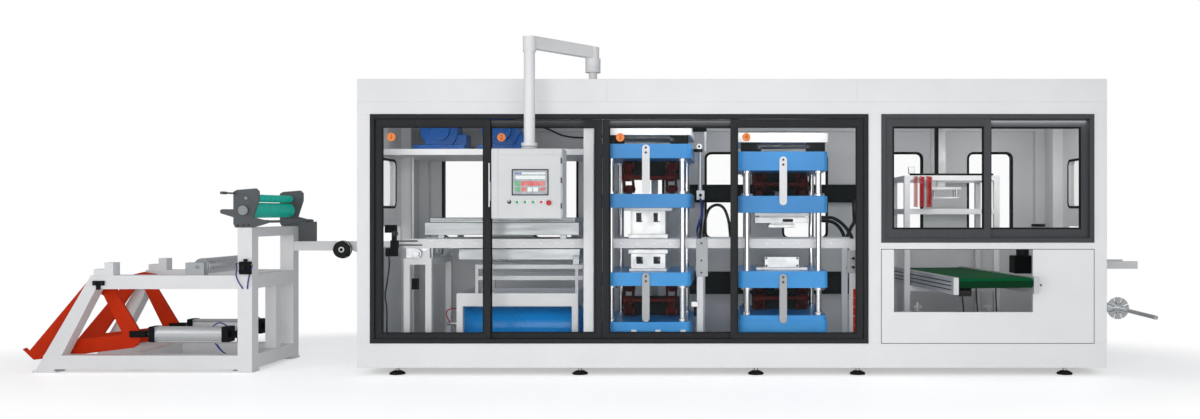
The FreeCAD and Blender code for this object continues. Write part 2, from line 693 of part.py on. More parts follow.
FORM_UPPER = Half(FORM_X, FORM_LEVELS["head"][0], FORM_LEVELS["upper"][1], -1)
FORM_LOWER = Half(FORM_X, FORM_LEVELS["base"], FORM_LEVELS["lower"][0], 1)
TRIM_UPPER = Half(TRIM_X, TRIM_LEVELS["head"][0], TRIM_LEVELS["upper"][1], -1)
TRIM_LOWER = Half(TRIM_X, TRIM_LEVELS["base"], TRIM_LEVELS["lower"][0], 1)


BASE_LIP = {FORM_X: 0.0, TRIM_X: 42.0}
BASE_LIP_INSET = 12.0
GEAR_WIDTH = 540.0
GEAR_HEIGHT = 176.0
GEAR_Y = (SHEET_Y + EYE_RADIUS + 47, SHEET_Y + EYE_RADIUS + 247)
GEAR_COVER = 14.0
MOTOR_DROP = 92.0
MOTOR_RADIUS = 68.0
MOTOR_REACH = 190.0


def gear_box(half):
    """The gear box behind the knuckles, its round cover and the motor that lies towards the back."""
    far = half.fixed_face + half.direction * GEAR_HEIGHT
    z = (min(half.fixed_face, far), max(half.fixed_face, far))
    case = box((half.centre - GEAR_WIDTH / 2, half.centre + GEAR_WIDTH / 2), GEAR_Y, z)
    case = rounded(case, Vector(0, 1, 0), 18)
    axis = (half.centre, half.fixed_face + half.direction * MOTOR_DROP)
    cover = rod_y(axis, (GEAR_Y[0] - GEAR_COVER, GEAR_Y[0]), MOTOR_RADIUS - 6)
    motor = rod_y(axis, (GEAR_Y[1], GEAR_Y[1] + MOTOR_REACH), MOTOR_RADIUS)
    return [case, cover, motor]


def fixed_block(block, half):
    """A fixed block of a station with its gear box and its knuckle brackets."""
    return fuse([block] + gear_box(half) + eye_bracket(half.centre, half.fixed_z, half.fixed_face, True))


def press_bases():
    """The base blocks of both stations with their lower knuckle brackets and gear boxes."""
    solids = []
    for centre, levels, half in ((FORM_X, FORM_LEVELS, FORM_LOWER), (TRIM_X, TRIM_LEVELS, TRIM_LOWER)):
        block = press_block(centre, (FLOOR_TOP, levels["base"] - BASE_LIP[centre]))
        if BASE_LIP[centre]:
            lip = press_block(centre, (levels["base"] - BASE_LIP[centre] - 1, levels["base"]), BASE_LIP_INSET)
            block = block.fuse(lip)
        solids.append(fixed_block(block, half))
    return group(solids)


def press_crossheads():
    """The fixed upper blocks of both stations with their upper knuckle brackets and gear boxes."""
    solids = []
    for centre, levels, half in ((FORM_X, FORM_LEVELS, FORM_UPPER), (TRIM_X, TRIM_LEVELS, TRIM_UPPER)):
        block = press_block(centre, levels["head"]).cut(column_holes(centre, levels["head"]))
        solids.append(fixed_block(block, half))
    return group(solids)


def press_columns():
    """The eight ground columns that guide the platens, with a collar under each crosshead."""
    solids = []
    for centre, levels in ((FORM_X, FORM_LEVELS), (TRIM_X, TRIM_LEVELS)):
        for place in column_places(centre):
            shaft = rod_z(place, (levels["base"], levels["beam"][0]), COLUMN_RADIUS)
            collar = rod_z(place, (levels["head"][0] - 22, levels["head"][0]), COLUMN_RADIUS + 14)
            foot = rod_z(place, (levels["base"], levels["base"] + 26), COLUMN_RADIUS + 16)
            solids.append(fuse([shaft, collar, foot]))
    return group(solids)


def strap(centre, z, y):
    """A flat strap with round ends, standing against a block's face."""
    r = STRAP_WIDTH / 2
    bar = box((centre - r, centre + r), y, (z[0] + r, z[1] - r))
    ends = [rod_y((centre, z[0] + r), y, r), rod_y((centre, z[1] - r), y, r)]
    return fuse([bar] + ends)


def strap_pair(centre, z, pad_z):
    """A strap in front of a station and one behind it, each held off by a pad."""
    near = (PRESS_Y[0] - STRAP_GAP - STRAP_THICKNESS, PRESS_Y[0] - STRAP_GAP)
    pad = box((centre - 30, centre + 30), (near[1], PRESS_Y[0]), pad_z)
    front = fuse([strap(centre, z, near), pad])
    return [front, mirrored_y(front, SHEET_Y)]


UPPER_STRAPS = {FORM_X: ((1637.0, 2085.0), (1990.0, 2070.0)), TRIM_X: ((1531.0, 1975.0), (1875.0, 1960.0))}
LOWER_STRAPS = {FORM_X: ((467.0, 913.0), (815.0, 895.0)), TRIM_X: ((456.0, 904.0), (800.0, 885.0))}


def press_tops():
    """The white beams on the columns and the white straps that hang from the crossheads."""
    solids = []
    for centre, levels in ((FORM_X, FORM_LEVELS), (TRIM_X, TRIM_LEVELS)):
        x = (centre - PRESS_HALF_WIDTH, centre + PRESS_HALF_WIDTH)
        solids.append(box(x, PRESS_Y, levels["beam"]))
        solids += strap_pair(centre, *UPPER_STRAPS[centre])
    return group(solids)


def crank(half):
    """The fixed block's knuckle links, left and right, joined by the shaft at the knee."""
    parts = []
    up = Vector(0, half.knee_y - SHEET_Y, half.knee_z - half.fixed_z)
    for middle in knuckle_sides(half.centre):
        x = (middle - BLADE_HALF, middle + BLADE_HALF)
        side = Vector(0, up.z, -up.y).normalize() * EYE_RADIUS * 0.8
        start = Vector(x[0], SHEET_Y, half.fixed_z)
        corners = [start + side, start + up + side, start + up - side, start - side]
        blade = Part.Face(Part.makePolygon(corners + corners[:1])).extrude(Vector(x[1] - x[0], 0, 0))
        parts += [blade, rod_x(x, (SHEET_Y, half.fixed_z), EYE_RADIUS),
                  rod_x(x, (half.knee_y, half.knee_z), EYE_RADIUS)]
    reach = KNUCKLE_X + BLADE_HALF + CHEEK_GAP + CHEEK + 8
    parts.append(rod_x((half.centre - reach, half.centre + reach), (half.knee_y, half.knee_z), PIN_RADIUS))
    bores = [rod_x((middle - BLADE_HALF - 1, middle + BLADE_HALF + 1), (SHEET_Y, half.fixed_z),
                   PIN_RADIUS + PIN_FIT) for middle in knuckle_sides(half.centre)]
    return fuse(parts).cut(bores)


def link(half):
    """The platen's knuckle links: two cheeks on either side of each blade."""
    cheeks = []
    run = Vector(0, SHEET_Y - half.knee_y, half.platen_z - half.knee_z)
    inner = BLADE_HALF + CHEEK_GAP
    for middle in knuckle_sides(half.centre):
        for x in ((middle - inner - CHEEK, middle - inner), (middle + inner, middle + inner + CHEEK)):
            side = Vector(0, run.z, -run.y).normalize() * EYE_RADIUS * 0.8
            start = Vector(x[0], half.knee_y, half.knee_z)
            corners = [start + side, start + run + side, start + run - side, start - side]
            bar = Part.Face(Part.makePolygon(corners + corners[:1])).extrude(Vector(CHEEK, 0, 0))
            eyes = [rod_x(x, (half.knee_y, half.knee_z), EYE_RADIUS),
                    rod_x(x, (SHEET_Y, half.platen_z), EYE_RADIUS)]
            wide = (x[0] - 1, x[1] + 1)
            bores = [rod_x(wide, (half.knee_y, half.knee_z), PIN_RADIUS + PIN_FIT),
                     rod_x(wide, (SHEET_Y, half.platen_z), PIN_RADIUS + PIN_FIT)]
            cheeks.append(fuse([bar] + eyes).cut(bores))
    return group(cheeks)


def platen(half, levels, straps):
    """A moving platen with guide bosses on the knuckle's side, its knuckle eyes and any straps."""
    block = press_block(half.centre, levels)
    face = half.platen_face
    boss_z = (face, face + BOSS_HEIGHT) if half.direction < 0 else (face - BOSS_HEIGHT, face)
    bosses = [rod_z(place, boss_z, BOSS_RADIUS) for place in column_places(half.centre)]
    body = fuse([block] + bosses + eye_bracket(half.centre, half.platen_z, face, False))
    reach = (levels[0] - BOSS_HEIGHT, levels[1] + BOSS_HEIGHT)
    body = body.cut(column_holes(half.centre, reach))
    return fuse([body] + straps) if straps else body


MOULD_Y = (SHEET_Y - 310, SHEET_Y + 310)


def mould(centre, steps):
    """A mould or die as a stack of plates, each (half width, low, high, inset in Y)."""
    plates = []
    for half_width, low, high, inset in steps:
        y = (MOULD_Y[0] + inset, MOULD_Y[1] - inset)
        plates.append(box((centre - half_width, centre + half_width), y, (low, high)))
    return fuse(plates)


def peep_holes(centre, z):
    """The pair of upright holes through a mould's housing, left and right of its middle."""
    return [box((centre + x - PEEP_WIDTH / 2, centre + x + PEEP_WIDTH / 2), PRESS_Y, z)
            for x in (-PEEP_X, PEEP_X)]


PEEP_X = 81.0
PEEP_WIDTH = 60.0
UPPER_PEEP_Z = (1376.0, 1460.0)
LOWER_PEEP_Z = (985.0, 1050.0)
FORM_UPPER_MOULD = ((225, 1480, 1508, 0), (162, 1262, 1480, 20), (185, 1221, 1262, 0))
FORM_LOWER_MOULD = ((176, 916, 940, 0), (162, 940, 1080, 20), (185, 1080, 1120, 0))
TRIM_UPPER_DIE = ((257, 1432, 1461, 0), (215, 1421, 1432, 30), (254, 1366, 1421, 10), (110, 1350, 1366, 60),
                  (125, 1322, 1350, 40))
TRIM_LOWER_DIE = ((240, 928, 952, 0), (160, 952, 1049, 30))


# Control arm

def control_arm():
    """The swing arm: upper drum, rectangular tube out to the elbow and the drop tube."""
    base, end = Vector(ARM_BASE[0], ARM_BASE[1], 0), Vector(ARM_END[0], ARM_END[1], 0)
    run = end - base
    turn = math.degrees(math.atan2(run.y, run.x))
    low, high = ARM_LEVEL - ARM_TUBE[1] / 2, ARM_LEVEL + ARM_TUBE[1] / 2
    bar = box((0, run.Length), (-ARM_TUBE[0] / 2, ARM_TUBE[0] / 2), (low, high))
    tube = rounded(bar, Vector(1, 0, 0), 14)
    tube.rotate(Vector(0, 0, 0), Vector(0, 0, 1), turn)
    tube.translate(base)
    drum = rod_z(ARM_BASE, (DRUM_SPLIT + SWIVEL_FIT, low), DRUM_RADIUS)
    cap = rod_z(ARM_BASE, (low, high - 4), DRUM_RADIUS - 12)
    elbow = rod_z(ARM_END, (low - 30, high - 6), ARM_TUBE[0] / 2 + 12)
    drop = rod_z(ARM_END, (SWIVEL_SPLIT, low), DROP_RADIUS)
    collar = rod_z(ARM_END, (SWIVEL_SPLIT, SWIVEL_SPLIT + 28), DROP_RADIUS + 22)
    return fuse([tube, drum, cap, elbow, drop, collar])


def control_box():
    """The control box with its swivel flange, screen bezel, buttons and side handle."""
    width, depth, height = BOX_SIZE
    top = BOX_BOTTOM + height
    x = (ARM_END[0] - width / 2, ARM_END[0] + width / 2)
    y = (ARM_END[1] - depth / 2, ARM_END[1] + depth / 2)
    case = rounded(box(x, y, (BOX_BOTTOM, top)), Vector(0, 0, 1), 14)
    flange = rod_z(ARM_END, (top, SWIVEL_SPLIT - SWIVEL_FIT), DROP_RADIUS + 22)
    screen = box((x[0] + 178, x[0] + 495), (y[0] - 5, y[0]), (1612, 1838))
    parts = [case, flange, screen]
    for offset, radius, out in ((156, 12, 10), (226, 12, 8), (295, 12, 8), (365, 12, 8), (434, 12, 8),
                                (500, 22, 26)):
        parts.append(rod_y((x[0] + offset, 1556), (y[0] - out, y[0]), radius))
    grip_x = x[0] - 42
    for z in (1560, 1740):
        parts.append(rod((grip_x, ARM_END[1], z), (x[0], ARM_END[1], z), 9))
    parts.append(rod((grip_x, ARM_END[1], 1551), (grip_x, ARM_END[1], 1749), 9))
    return fuse(parts)


# Stacker and conveyor

def stacker_frame():
    """The white stacker frame with the cross bars that carry the conveyor."""
    t = STACKER_TUBE / 2
    parts = []
    for x in STACKER_X:
        for y in STACKER_Y:
            parts.append(box((x - t, x + t), (y - t, y + t), (FLOOR_TOP, STACKER_TOP)))
    for z in ((SIDE_Z[0] - 56, SIDE_Z[0]), (1446, 1500), (STACKER_TOP - 50, STACKER_TOP)):
        for y in STACKER_Y:
            parts.append(box(STACKER_X, (y - t, y + t), z))
        if z[0] > SIDE_Z[1]:
            for x in STACKER_X:
                parts.append(box((x - t, x + t), STACKER_Y, z))
    return fuse(parts)


def stacker_lift():
    """The lift column from the roof, its carriage plates, guide bar and the scrap drive."""
    x = SECOND_SEAM + 920.0
    column = box((x, x + 86), (1040, 1110), (1716, ROOF_BOTTOM))
    spine = box((x - 55, x - 1), (1060, 1100), (1716, ROOF_BOTTOM))
    plates = [box((x - 71, x + 219), (950, 1150), (1690, 1716)),
              box((x - 55, x + 205), (970, 1130), (1603, 1620))]
    pegs = [rod_z((peg, y), (1600, 1700), 14) for peg in (x - 35, x + 185) for y in (990, 1110)]
    lift = fuse([column, spine] + plates + pegs)
    bar = box((STACKER_X[0] + 30, STACKER_X[1] - 30), (STACKER_Y[0] - 10, STACKER_Y[0] + 14),
              (STACKER_TOP, STACKER_TOP + 20))
    left = HALF - 609.0
    post = INNER_X - END_POST
    drive = [box((left, left + 207), (800, 1000), (880, 1040)), rod_x((left + 207, post), (900, 960), 60),
             box((post, INNER_X), (840, 960), (900, 1020)), rod_z((left + 104, 900), (1040, 1130), 50)]
    return group([lift, bar, fuse(drive)])


COIL_PLACES = ((SECOND_SEAM + 675.0, 24.0), (SECOND_SEAM + 735.0, 28.0), (SECOND_SEAM + 805.0, 30.0))


def coiled_hoses():
    """The red coiled air hoses that hang from the stacker's guide bar."""
    hoses = []
    for x, radius in COIL_PLACES:
        y = STACKER_Y[0] - STACKER_TUBE / 2 - radius - 0.3
        hoses.append(rod_z((x, y), (1510, STACKER_TOP - 2), radius))
    return group(hoses)


def placed_conveyor(shape):
    """A conveyor piece, drawn along +Y from its front end, set at its place and angle."""
    shape = shape.copy()
    shape.rotate(Vector(0, 0, 0), Vector(0, 0, 1), CONVEYOR_YAW)
    shape.translate(Vector(CONVEYOR_FRONT[0], CONVEYOR_FRONT[1], 0))
    return shape


def conveyor_frame():
    """The two slotted aluminium sides of the take-off conveyor and its slider bed."""
    half = BELT_WIDTH / 2 + BELT_FIT
    parts = []
    for side in (-1, 1):
        x = (half, half + SIDE_WIDTH) if side > 0 else (-half - SIDE_WIDTH, -half)
        rail = box(x, (0, CONVEYOR_LENGTH), SIDE_Z)
        outer = x[1] if side > 0 else x[0]
        for z in (SIDE_Z[0] + 40, SIDE_Z[0] + 75, SIDE_Z[0] + 110):
            rail = rail.cut(box((outer - 6, outer + 6), (60, CONVEYOR_LENGTH - 60), (z - 5, z + 5)))
        parts.append(rail)
    bed_z = (BELT_Z - BELT_RADIUS + 8, BELT_Z + BELT_RADIUS - 8)
    parts.append(box((-half, half), (120, CONVEYOR_LENGTH - 120), bed_z))
    return placed_conveyor(fuse(parts))


def conveyor_belt():
    """The green belt as one fixed loop round its two end rollers."""
    half = BELT_WIDTH / 2
    ends = (BELT_RADIUS + 6, CONVEYOR_LENGTH - BELT_RADIUS - 6)
    outer = [rod_x((-half, half), (end, BELT_Z), BELT_RADIUS) for end in ends]
    outer.append(box((-half, half), ends, (BELT_Z - BELT_RADIUS, BELT_Z + BELT_RADIUS)))
    bed = box((-half - 1, half + 1), (119, CONVEYOR_LENGTH - 119),
              (BELT_Z - BELT_RADIUS + 7.7, BELT_Z + BELT_RADIUS - 7.7))
    return placed_conveyor(fuse(outer).cut(bed))


# Outfeed

def outfeed_arms():
    """The two guide arms and the mandrel's bearing arm on the right end wall."""
    solids = []
    for y in GUIDE_Y:
        arm = box((HALF, GUIDE_REACH), (y, y + 40), GUIDE_Z)
        foot = box((HALF, HALF + 16), (y - 30, y + 70), (GUIDE_Z[0] - 30, GUIDE_Z[1] + 30))
        solids.append(fuse([arm, foot]))
    x, z = MANDREL_AT
    y = (FLANGE_Y + 60, FLANGE_Y + 110)
    arm = box((HALF, x), y, (z - 45, z + 45))
    hub = rod_y((x, z), (y[0] - 30, y[1] + 20), 62)
    foot = box((HALF, HALF + 16), (y[0] - 50, y[1] + 50), (z - 100, z + 100))
    bore = rod_y((x, z), (y[0] - 40, y[1] + 60), SHAFT_RADIUS + SHAFT_FIT)
    solids.append(fuse([arm, hub, foot]).cut(bore))
    return group(solids)


def scrap_mandrel():
    """The winding mandrel with its petal flange and the shaft in its bearing arm."""
    x, z = MANDREL_AT
    bar = rod_y((x, z), (MANDREL_TIP, FLANGE_Y), MANDREL_RADIUS)
    flange = rod_y((x, z), (FLANGE_Y, FLANGE_Y + 14), FLANGE_RADIUS)
    petals = []
    for index in range(8):
        slot = box((x + 40, x + FLANGE_RADIUS + 5), (FLANGE_Y - 1, FLANGE_Y + 15), (z - 5, z + 5))
        slot.rotate(Vector(x, 0, z), Vector(0, 1, 0), 22.5 + 45 * index)
        petals.append(slot)
    boss = rod_y((x, z), (FLANGE_Y + 14, FLANGE_Y + 29), 36)
    shaft = rod_y((x, z), (FLANGE_Y + 29, FLANGE_Y + 150), SHAFT_RADIUS)
    return fuse([bar, flange.cut(petals), boss, shaft])


# Unwinder

def unwinder_side(y):
    """One side of the unwinder: post, rails, slanted leg and foot plates."""
    x0, x1 = POST_X
    leg = [(LEFT - 3000, 14), (LEFT - 2831, 14), (LEFT - 2380, MID_Z[1]), (LEFT - 2489, MID_Z[1])]
    parts = [box(POST_X, y, (0, POST_TOP)), box((MID_LEFT, x1), y, MID_Z), box((LEFT - 2925, x1), y, LOW_Z),
             plate_y(leg, y)]
    parts.append(box((LEFT - 3025, LEFT - 2805), (y[0] - 10, y[1] + 10), (0, 14)))
    parts.append(box((x0 - 60, x1 + 10), (y[0] - 10, y[1] + 10), (0, 14)))
    middle = (y[0] + y[1]) / 2
    parts.append(plate_y([(x0 - 60, 14), (x0, 14), (x0, 120), (x0 - 12, 120)], (middle - 8, middle + 8)))
    return parts


NEAR_Y = (UNWINDER_Y[0], UNWINDER_Y[0] + TUBE)
FAR_Y = (UNWINDER_Y[1] - TUBE, UNWINDER_Y[1])
STOP_X = (LEFT - 2470.0, LEFT - 2370.0, LEFT - 2290.0)


def lift_centres():
    """The Y stretch of the near and the far lift arm."""
    near = (ARM_Y, ARM_Y + ARM_PLATE)
    total = UNWINDER_Y[0] + UNWINDER_Y[1]
    return (near, (total - near[1], total - near[0]))


def unwinder_frame():
    """The welded stand for the sheet reel, its bearing blocks and the beam to the cabinet."""
    parts = unwinder_side(NEAR_Y) + unwinder_side(FAR_Y)
    across = (NEAR_Y[1], FAR_Y[0])
    for z in ((POST_TOP - 86, POST_TOP), MID_Z, LOW_Z):
        parts.append(box(POST_X, across, z))
    parts.append(box((POST_X[0] + 15, POST_X[1] - 15), (700, 810), (LOW_Z[1], MID_Z[0])))
    parts.append(box((LEFT - 2225, LEFT - 2125), across, LOW_Z))
    for y, inward in ((NEAR_Y, 1), (FAR_Y, -1)):
        face = y[1] if inward > 0 else y[0]
        arm = lift_centres()[0 if inward > 0 else 1]
        pin_end = arm[1] + 12 if inward > 0 else arm[0] - 12
        parts.append(rod((LIFT_PIVOT[0], face, LIFT_PIVOT[1]), (LIFT_PIVOT[0], pin_end, LIFT_PIVOT[1]), 22))
        parts.append(box((STOP_X[0], STOP_X[2]), (y[0] + 10, y[1] - 10), (MID_Z[1], MID_Z[1] + 56)))
        parts.append(box((STOP_X[1], STOP_X[2]), (y[0] + 10, y[1] - 10), (MID_Z[1], MID_Z[1] + 116)))
        x, z = SUPPORT_AXIS
        block = box((x - 110, x + 60), (y[0] + 20, y[1] - 30), (MID_Z[1], z + 38))
        bore = rod_y(SUPPORT_AXIS, (y[0], y[1]), SHAFT_RADIUS + SHAFT_FIT)
        parts.append(block.cut(bore))
        rear_x, rear_z = CYLINDER_REAR
        middle = (arm[0] + arm[1]) / 2
        cheeks = [box((rear_x - 34, POST_X[0]), cheek, (rear_z - 34, rear_z + 34))
                  for cheek in ((middle - 46, middle - 26), (middle + 26, middle + 46))]
        mount = box((POST_X[0] - 16, POST_X[0]), (min(middle - 60, y[0] + 20), max(middle + 60, y[1] - 20)),
                    (rear_z - 60, rear_z + 60))
        pin = rod((rear_x, middle - 50, rear_z), (rear_x, middle + 50, rear_z), 14)
        parts += cheeks + [mount, pin]
    beam_x = (POST_X[1] - 20, -HALF)
    parts.append(box(beam_x, BEAM_Y, BEAM_Z))
    gusset = [(LEFT - 430, BEAM_Z[0]), (-HALF, BEAM_Z[0]), (-HALF, 930), (-HALF - 60, 930)]
    parts.append(plate_y(gusset, (BEAM_Y[0] + 20, BEAM_Y[1] - 20)))
    stub_y = (BEAM_Y[0] - 50, BEAM_Y[0])
    parts.append(rod_y(WHEEL_AT, stub_y, 14))
    return fuse(parts)


ARM_OUTLINE = upstream(((-3222, 192), (-3197, 205), (-3164, 172), (-2601, 844), (-2485, 872),
                        (-2360, 850), (-2340, 700), (-2125, 345), (-2121, 290), (-2155, 232),
                        (-2197, 206), (-2994, 108), (-3119, 94)))
ARM_HOLE = upstream(((-2550, 742), (-2875, 262), (-2290, 330), (-2467, 690)))


def lift_arms():
    """The two red lifting arms, each a triangular plate with a hook at its low end."""
    arms = []
    for y in lift_centres():
        plate = plate_y(ARM_OUTLINE, y)
        cuts = [plate_y(ARM_HOLE, (y[0] - 1, y[1] + 1)), rod_y(LIFT_PIVOT, (y[0] - 1, y[1] + 1), 22.3)]
        arms.append(plate.cut(cuts))
    return group(arms)


def lift_barrels():
    """The two air cylinder barrels with their end caps and rear eyes."""
    barrels = []
    z = CYLINDER_REAR[1]
    for y in lift_centres():
        middle = (y[0] + y[1]) / 2
        tube = rod_x((CYLINDER_X[0] + 60, CYLINDER_X[1] - 60), (middle, z), CYLINDER_RADIUS)
        parts = [tube]
        for x in ((CYLINDER_X[0], CYLINDER_X[0] + 60), (CYLINDER_X[1] - 60, CYLINDER_X[1])):
            cap = box(x, (middle - 72, middle + 72), (z - 72, z + 72))
            parts.append(rounded(cap, Vector(1, 0, 0), 14))
        eye = box((CYLINDER_X[1], CYLINDER_REAR[0]), (middle - 21, middle + 21), (z - 26, z + 26))
        parts += [eye, rod_y(CYLINDER_REAR, (middle - 21, middle + 21), 26)]
        bores = [rod_x((CYLINDER_X[0] - 1, CYLINDER_X[1] - 80), (middle, z), ROD_RADIUS + ROD_FIT),
                 rod_y(CYLINDER_REAR, (middle - 22, middle + 22), 14.3)]
        barrels.append(fuse(parts).cut(bores))
    return group(barrels)


def lift_rods():
    """The two piston rods with the forks that straddle the arms' lower corners."""
    rods = []
    z = CYLINDER_REAR[1]
    fork_root = LIFT_EYE_X + FORK_DEPTH
    for y in lift_centres():
        middle = (y[0] + y[1]) / 2
        shaft = rod_x((fork_root + 24, CYLINDER_X[1] - 90), (middle, z), ROD_RADIUS)
        block = box((fork_root, fork_root + 30), (middle - 40, middle + 40), (z - 30, z + 30))
        cheeks = [box((LIFT_EYE_X - 30, fork_root + 2), cheek, (z - 30, z + 30))
                  for cheek in ((middle - 40, middle - 20), (middle + 20, middle + 40))]
        rods.append(fuse([shaft, block] + cheeks))
    return group(rods)


NIP_OUTLINE = upstream(((-1191, 1654), (-1159, 1672), (-986, 1686), (-958, 1659), (-958, 1583),
                        (-1010, 1421), (-916, 1397), (-879, 1397), (-879, 1366), (-1010, 1326),
                        (-1173, 1326), (-1191, 1360), (-1191, 1421), (-1309, 1457), (-1313, 1486),
                        (-1294, 1495), (-1191, 1495)))
NIP_NEAR = (UNWINDER_Y[0] + 10, UNWINDER_Y[0] + 10 + NIP_PLATE)
NIP_FAR = (UNWINDER_Y[1] - 10 - NIP_PLATE, UNWINDER_Y[1] - 10)
CROWN_AXIS = (CROWN_AXIS_X, NIP_AXIS[1] + NIP_RADIUS + CLEARANCE + CROWN_RADIUS)
GUIDE_BAR = (LEFT - 895.0, 1381.0)


def nip_frame():
    """The dark side plates on the post tops, the guide bar and the adjusting screw."""
    parts = []
    for y in (NIP_NEAR, NIP_FAR):
        wide = (y[0] - 1, y[1] + 1)
        bores = [rod_y(axis, wide, SHAFT_RADIUS + SHAFT_FIT) for axis in (NIP_AXIS, CROWN_AXIS)]
        parts.append(plate_y(NIP_OUTLINE, y).cut(bores))
    parts.append(rod_y(GUIDE_BAR, (NIP_NEAR[0], NIP_FAR[1] + 66), 12))
    parts.append(rod_y((LEFT - 1171, 1640), (NIP_NEAR[0] - 270, NIP_NEAR[0]), 8))
    parts.append(rod_y((LEFT - 1171, 1640), (NIP_NEAR[0] - 270, NIP_NEAR[0] - 180), 13))
    bracket = box((LEFT - 987, LEFT - 815), (NIP_FAR[0] - 40, NIP_FAR[0]), (BEAM_Z[1], 1372))
    parts.append(bracket)
    return fuse(parts)


def roller(axis, radius, grooves):
    """A rubber-covered roller with its shaft, with or without round grooves."""
    face = (NIP_NEAR[1] + CLEARANCE, NIP_FAR[0] - 40 - CLEARANCE)
    body = rod_y(axis, face, radius)
    cuts = []
    for index in range(grooves):
        y = face[0] + (index + 1) * (face[1] - face[0]) / (grooves + 1)
        cuts.append(rod_y(axis, (y - 9, y + 9), radius + 1).cut(rod_y(axis, (y - 10, y + 10), radius - 8)))
    body = body.cut(cuts) if cuts else body
    shaft = rod_y(axis, (NIP_NEAR[0] - 12, NIP_FAR[1] + 12), SHAFT_RADIUS)
    return fuse([body, shaft])


def nip_lower_roller():
    """The large driven roller with the polished hub on its near end."""
    hub = rod_y(NIP_AXIS, (NIP_NEAR[0] - 34, NIP_NEAR[0] - 6), 44)
    return fuse([roller(NIP_AXIS, NIP_RADIUS, 0), hub])


def nip_upper_roller():
    """The small grooved roller above it."""
    return roller(CROWN_AXIS, CROWN_RADIUS, 7)


def support_roller():
    """The polished support roller on the rails with its end disc."""
    near = NEAR_Y[1] - 30 + 4
    body = rod_y(SUPPORT_AXIS, (near + 18, FAR_Y[0] + 20 - 4), SUPPORT_RADIUS - 2)
    disc = rod_y(SUPPORT_AXIS, (near, near + 18), SUPPORT_RADIUS)
    shaft = rod_y(SUPPORT_AXIS, (NEAR_Y[0] + 10, FAR_Y[1] - 20), SHAFT_RADIUS)
    return fuse([body, disc, shaft])


def hand_wheel():
    """The black hand wheel with spokes and a crank knob, on its stub shaft."""
    y0 = BEAM_Y[0] - 46
    thick = 11.0
    middle = Vector(WHEEL_AT[0] + WHEEL_RADIUS - thick, y0 + thick, WHEEL_AT[1])
    corners = []
    for index in range(8):
        angle = math.radians(22.5 + 45 * index)
        corners.append(middle + Vector(math.cos(angle), math.sin(angle), 0) * thick)
    profile = Part.Face(Part.makePolygon(corners + corners[:1]))
    rim = profile.revolve(Vector(WHEEL_AT[0], 0, WHEEL_AT[1]), Vector(0, 1, 0), 360)
    hub = rod_y(WHEEL_AT, (y0 - 4, y0 + 34), 28)
    spokes = []
    for index in range(3):
        spoke = box((WHEEL_AT[0], WHEEL_AT[0] + WHEEL_RADIUS - 12), (y0 + 4, y0 + 18),
                    (WHEEL_AT[1] - 9, WHEEL_AT[1] + 9))
        spoke.rotate(Vector(WHEEL_AT[0], 0, WHEEL_AT[1]), Vector(0, 1, 0), 30 + 120 * index)
        spokes.append(spoke)
    knob = rod_y((WHEEL_AT[0] + 58, WHEEL_AT[1] - 58), (y0 - 44, y0 + 10), 11)
    bore = rod_y(WHEEL_AT, (y0 - 10, y0 + 40), 14.3)
    return fuse([rim, hub, knob] + spokes).cut(bore)


def lower_straps(centre):
    """The straps on a lower platen's front and back face."""
    return strap_pair(centre, *LOWER_STRAPS[centre])


NODES = {
    "base_frame": base_frame(),
    "levelling_feet": levelling_feet(),
    "roof": roof(),
    "front_header": front_header(),
    "front_posts": front_posts(),
    "end_walls": end_walls(),
    "back_wall": back_wall(),
    "window_panes": window_panes(),
    "glazing_frames": glazing_frames(),
    "access_panel": access_panel(),
    "inner_frame": inner_frame(),
    "cable_tray": cable_tray(),
    "heater_blowers": heater_blowers(),
    "machine_stands": machine_stands(),
    "heaters": heaters(),
    "chain_rails": chain_rails(),
    "air_tank": air_tank(),
    "press_bases": press_bases(),
    "press_columns": press_columns(),
    "press_crossheads": press_crossheads(),
    "press_tops": press_tops(),
    "form_upper_crank": crank(FORM_UPPER),
    "form_upper_link": link(FORM_UPPER),
    "form_upper_platen": platen(FORM_UPPER, FORM_LEVELS["upper"], []),
    "form_upper_mould": mould(FORM_X, FORM_UPPER_MOULD).cut(peep_holes(FORM_X, UPPER_PEEP_Z)),
    "form_lower_crank": crank(FORM_LOWER),
    "form_lower_link": link(FORM_LOWER),
    "form_lower_platen": platen(FORM_LOWER, FORM_LEVELS["lower"], lower_straps(FORM_X)),
    "form_lower_mould": mould(FORM_X, FORM_LOWER_MOULD).cut(peep_holes(FORM_X, LOWER_PEEP_Z)),
    "trim_upper_crank": crank(TRIM_UPPER),
    "trim_upper_link": link(TRIM_UPPER),
    "trim_upper_platen": platen(TRIM_UPPER, TRIM_LEVELS["upper"], []),
    "trim_upper_die": mould(TRIM_X, TRIM_UPPER_DIE),
    "trim_lower_crank": crank(TRIM_LOWER),
    "trim_lower_link": link(TRIM_LOWER),
    "trim_lower_platen": platen(TRIM_LOWER, TRIM_LEVELS["lower"], lower_straps(TRIM_X)),
    "trim_lower_die": mould(TRIM_X, TRIM_LOWER_DIE),
    "control_arm": control_arm(),
    "control_box": control_box(),
    "stacker_frame": stacker_frame(),
    "stacker_lift": stacker_lift(),
    "coiled_hoses": coiled_hoses(),
    "conveyor_frame": conveyor_frame(),
    "conveyor_belt": conveyor_belt(),
    "outfeed_arms": outfeed_arms(),
    "scrap_mandrel": scrap_mandrel(),
    "unwinder_frame": unwinder_frame(),
    "lift_arms": lift_arms(),
    "lift_barrels": lift_barrels(),
    "lift_rods": lift_rods(),
    "nip_frame": nip_frame(),
    "nip_lower_roller": nip_lower_roller(),
    "nip_upper_roller": nip_upper_roller(),
    "support_roller": support_roller(),
    "hand_wheel": hand_wheel(),
}
for number, (edges, track) in enumerate(zip(DOOR_EDGES, DOOR_TRACKS), start=1):
    NODES["sliding_door_%d" % number] = sliding_door(edges, track)

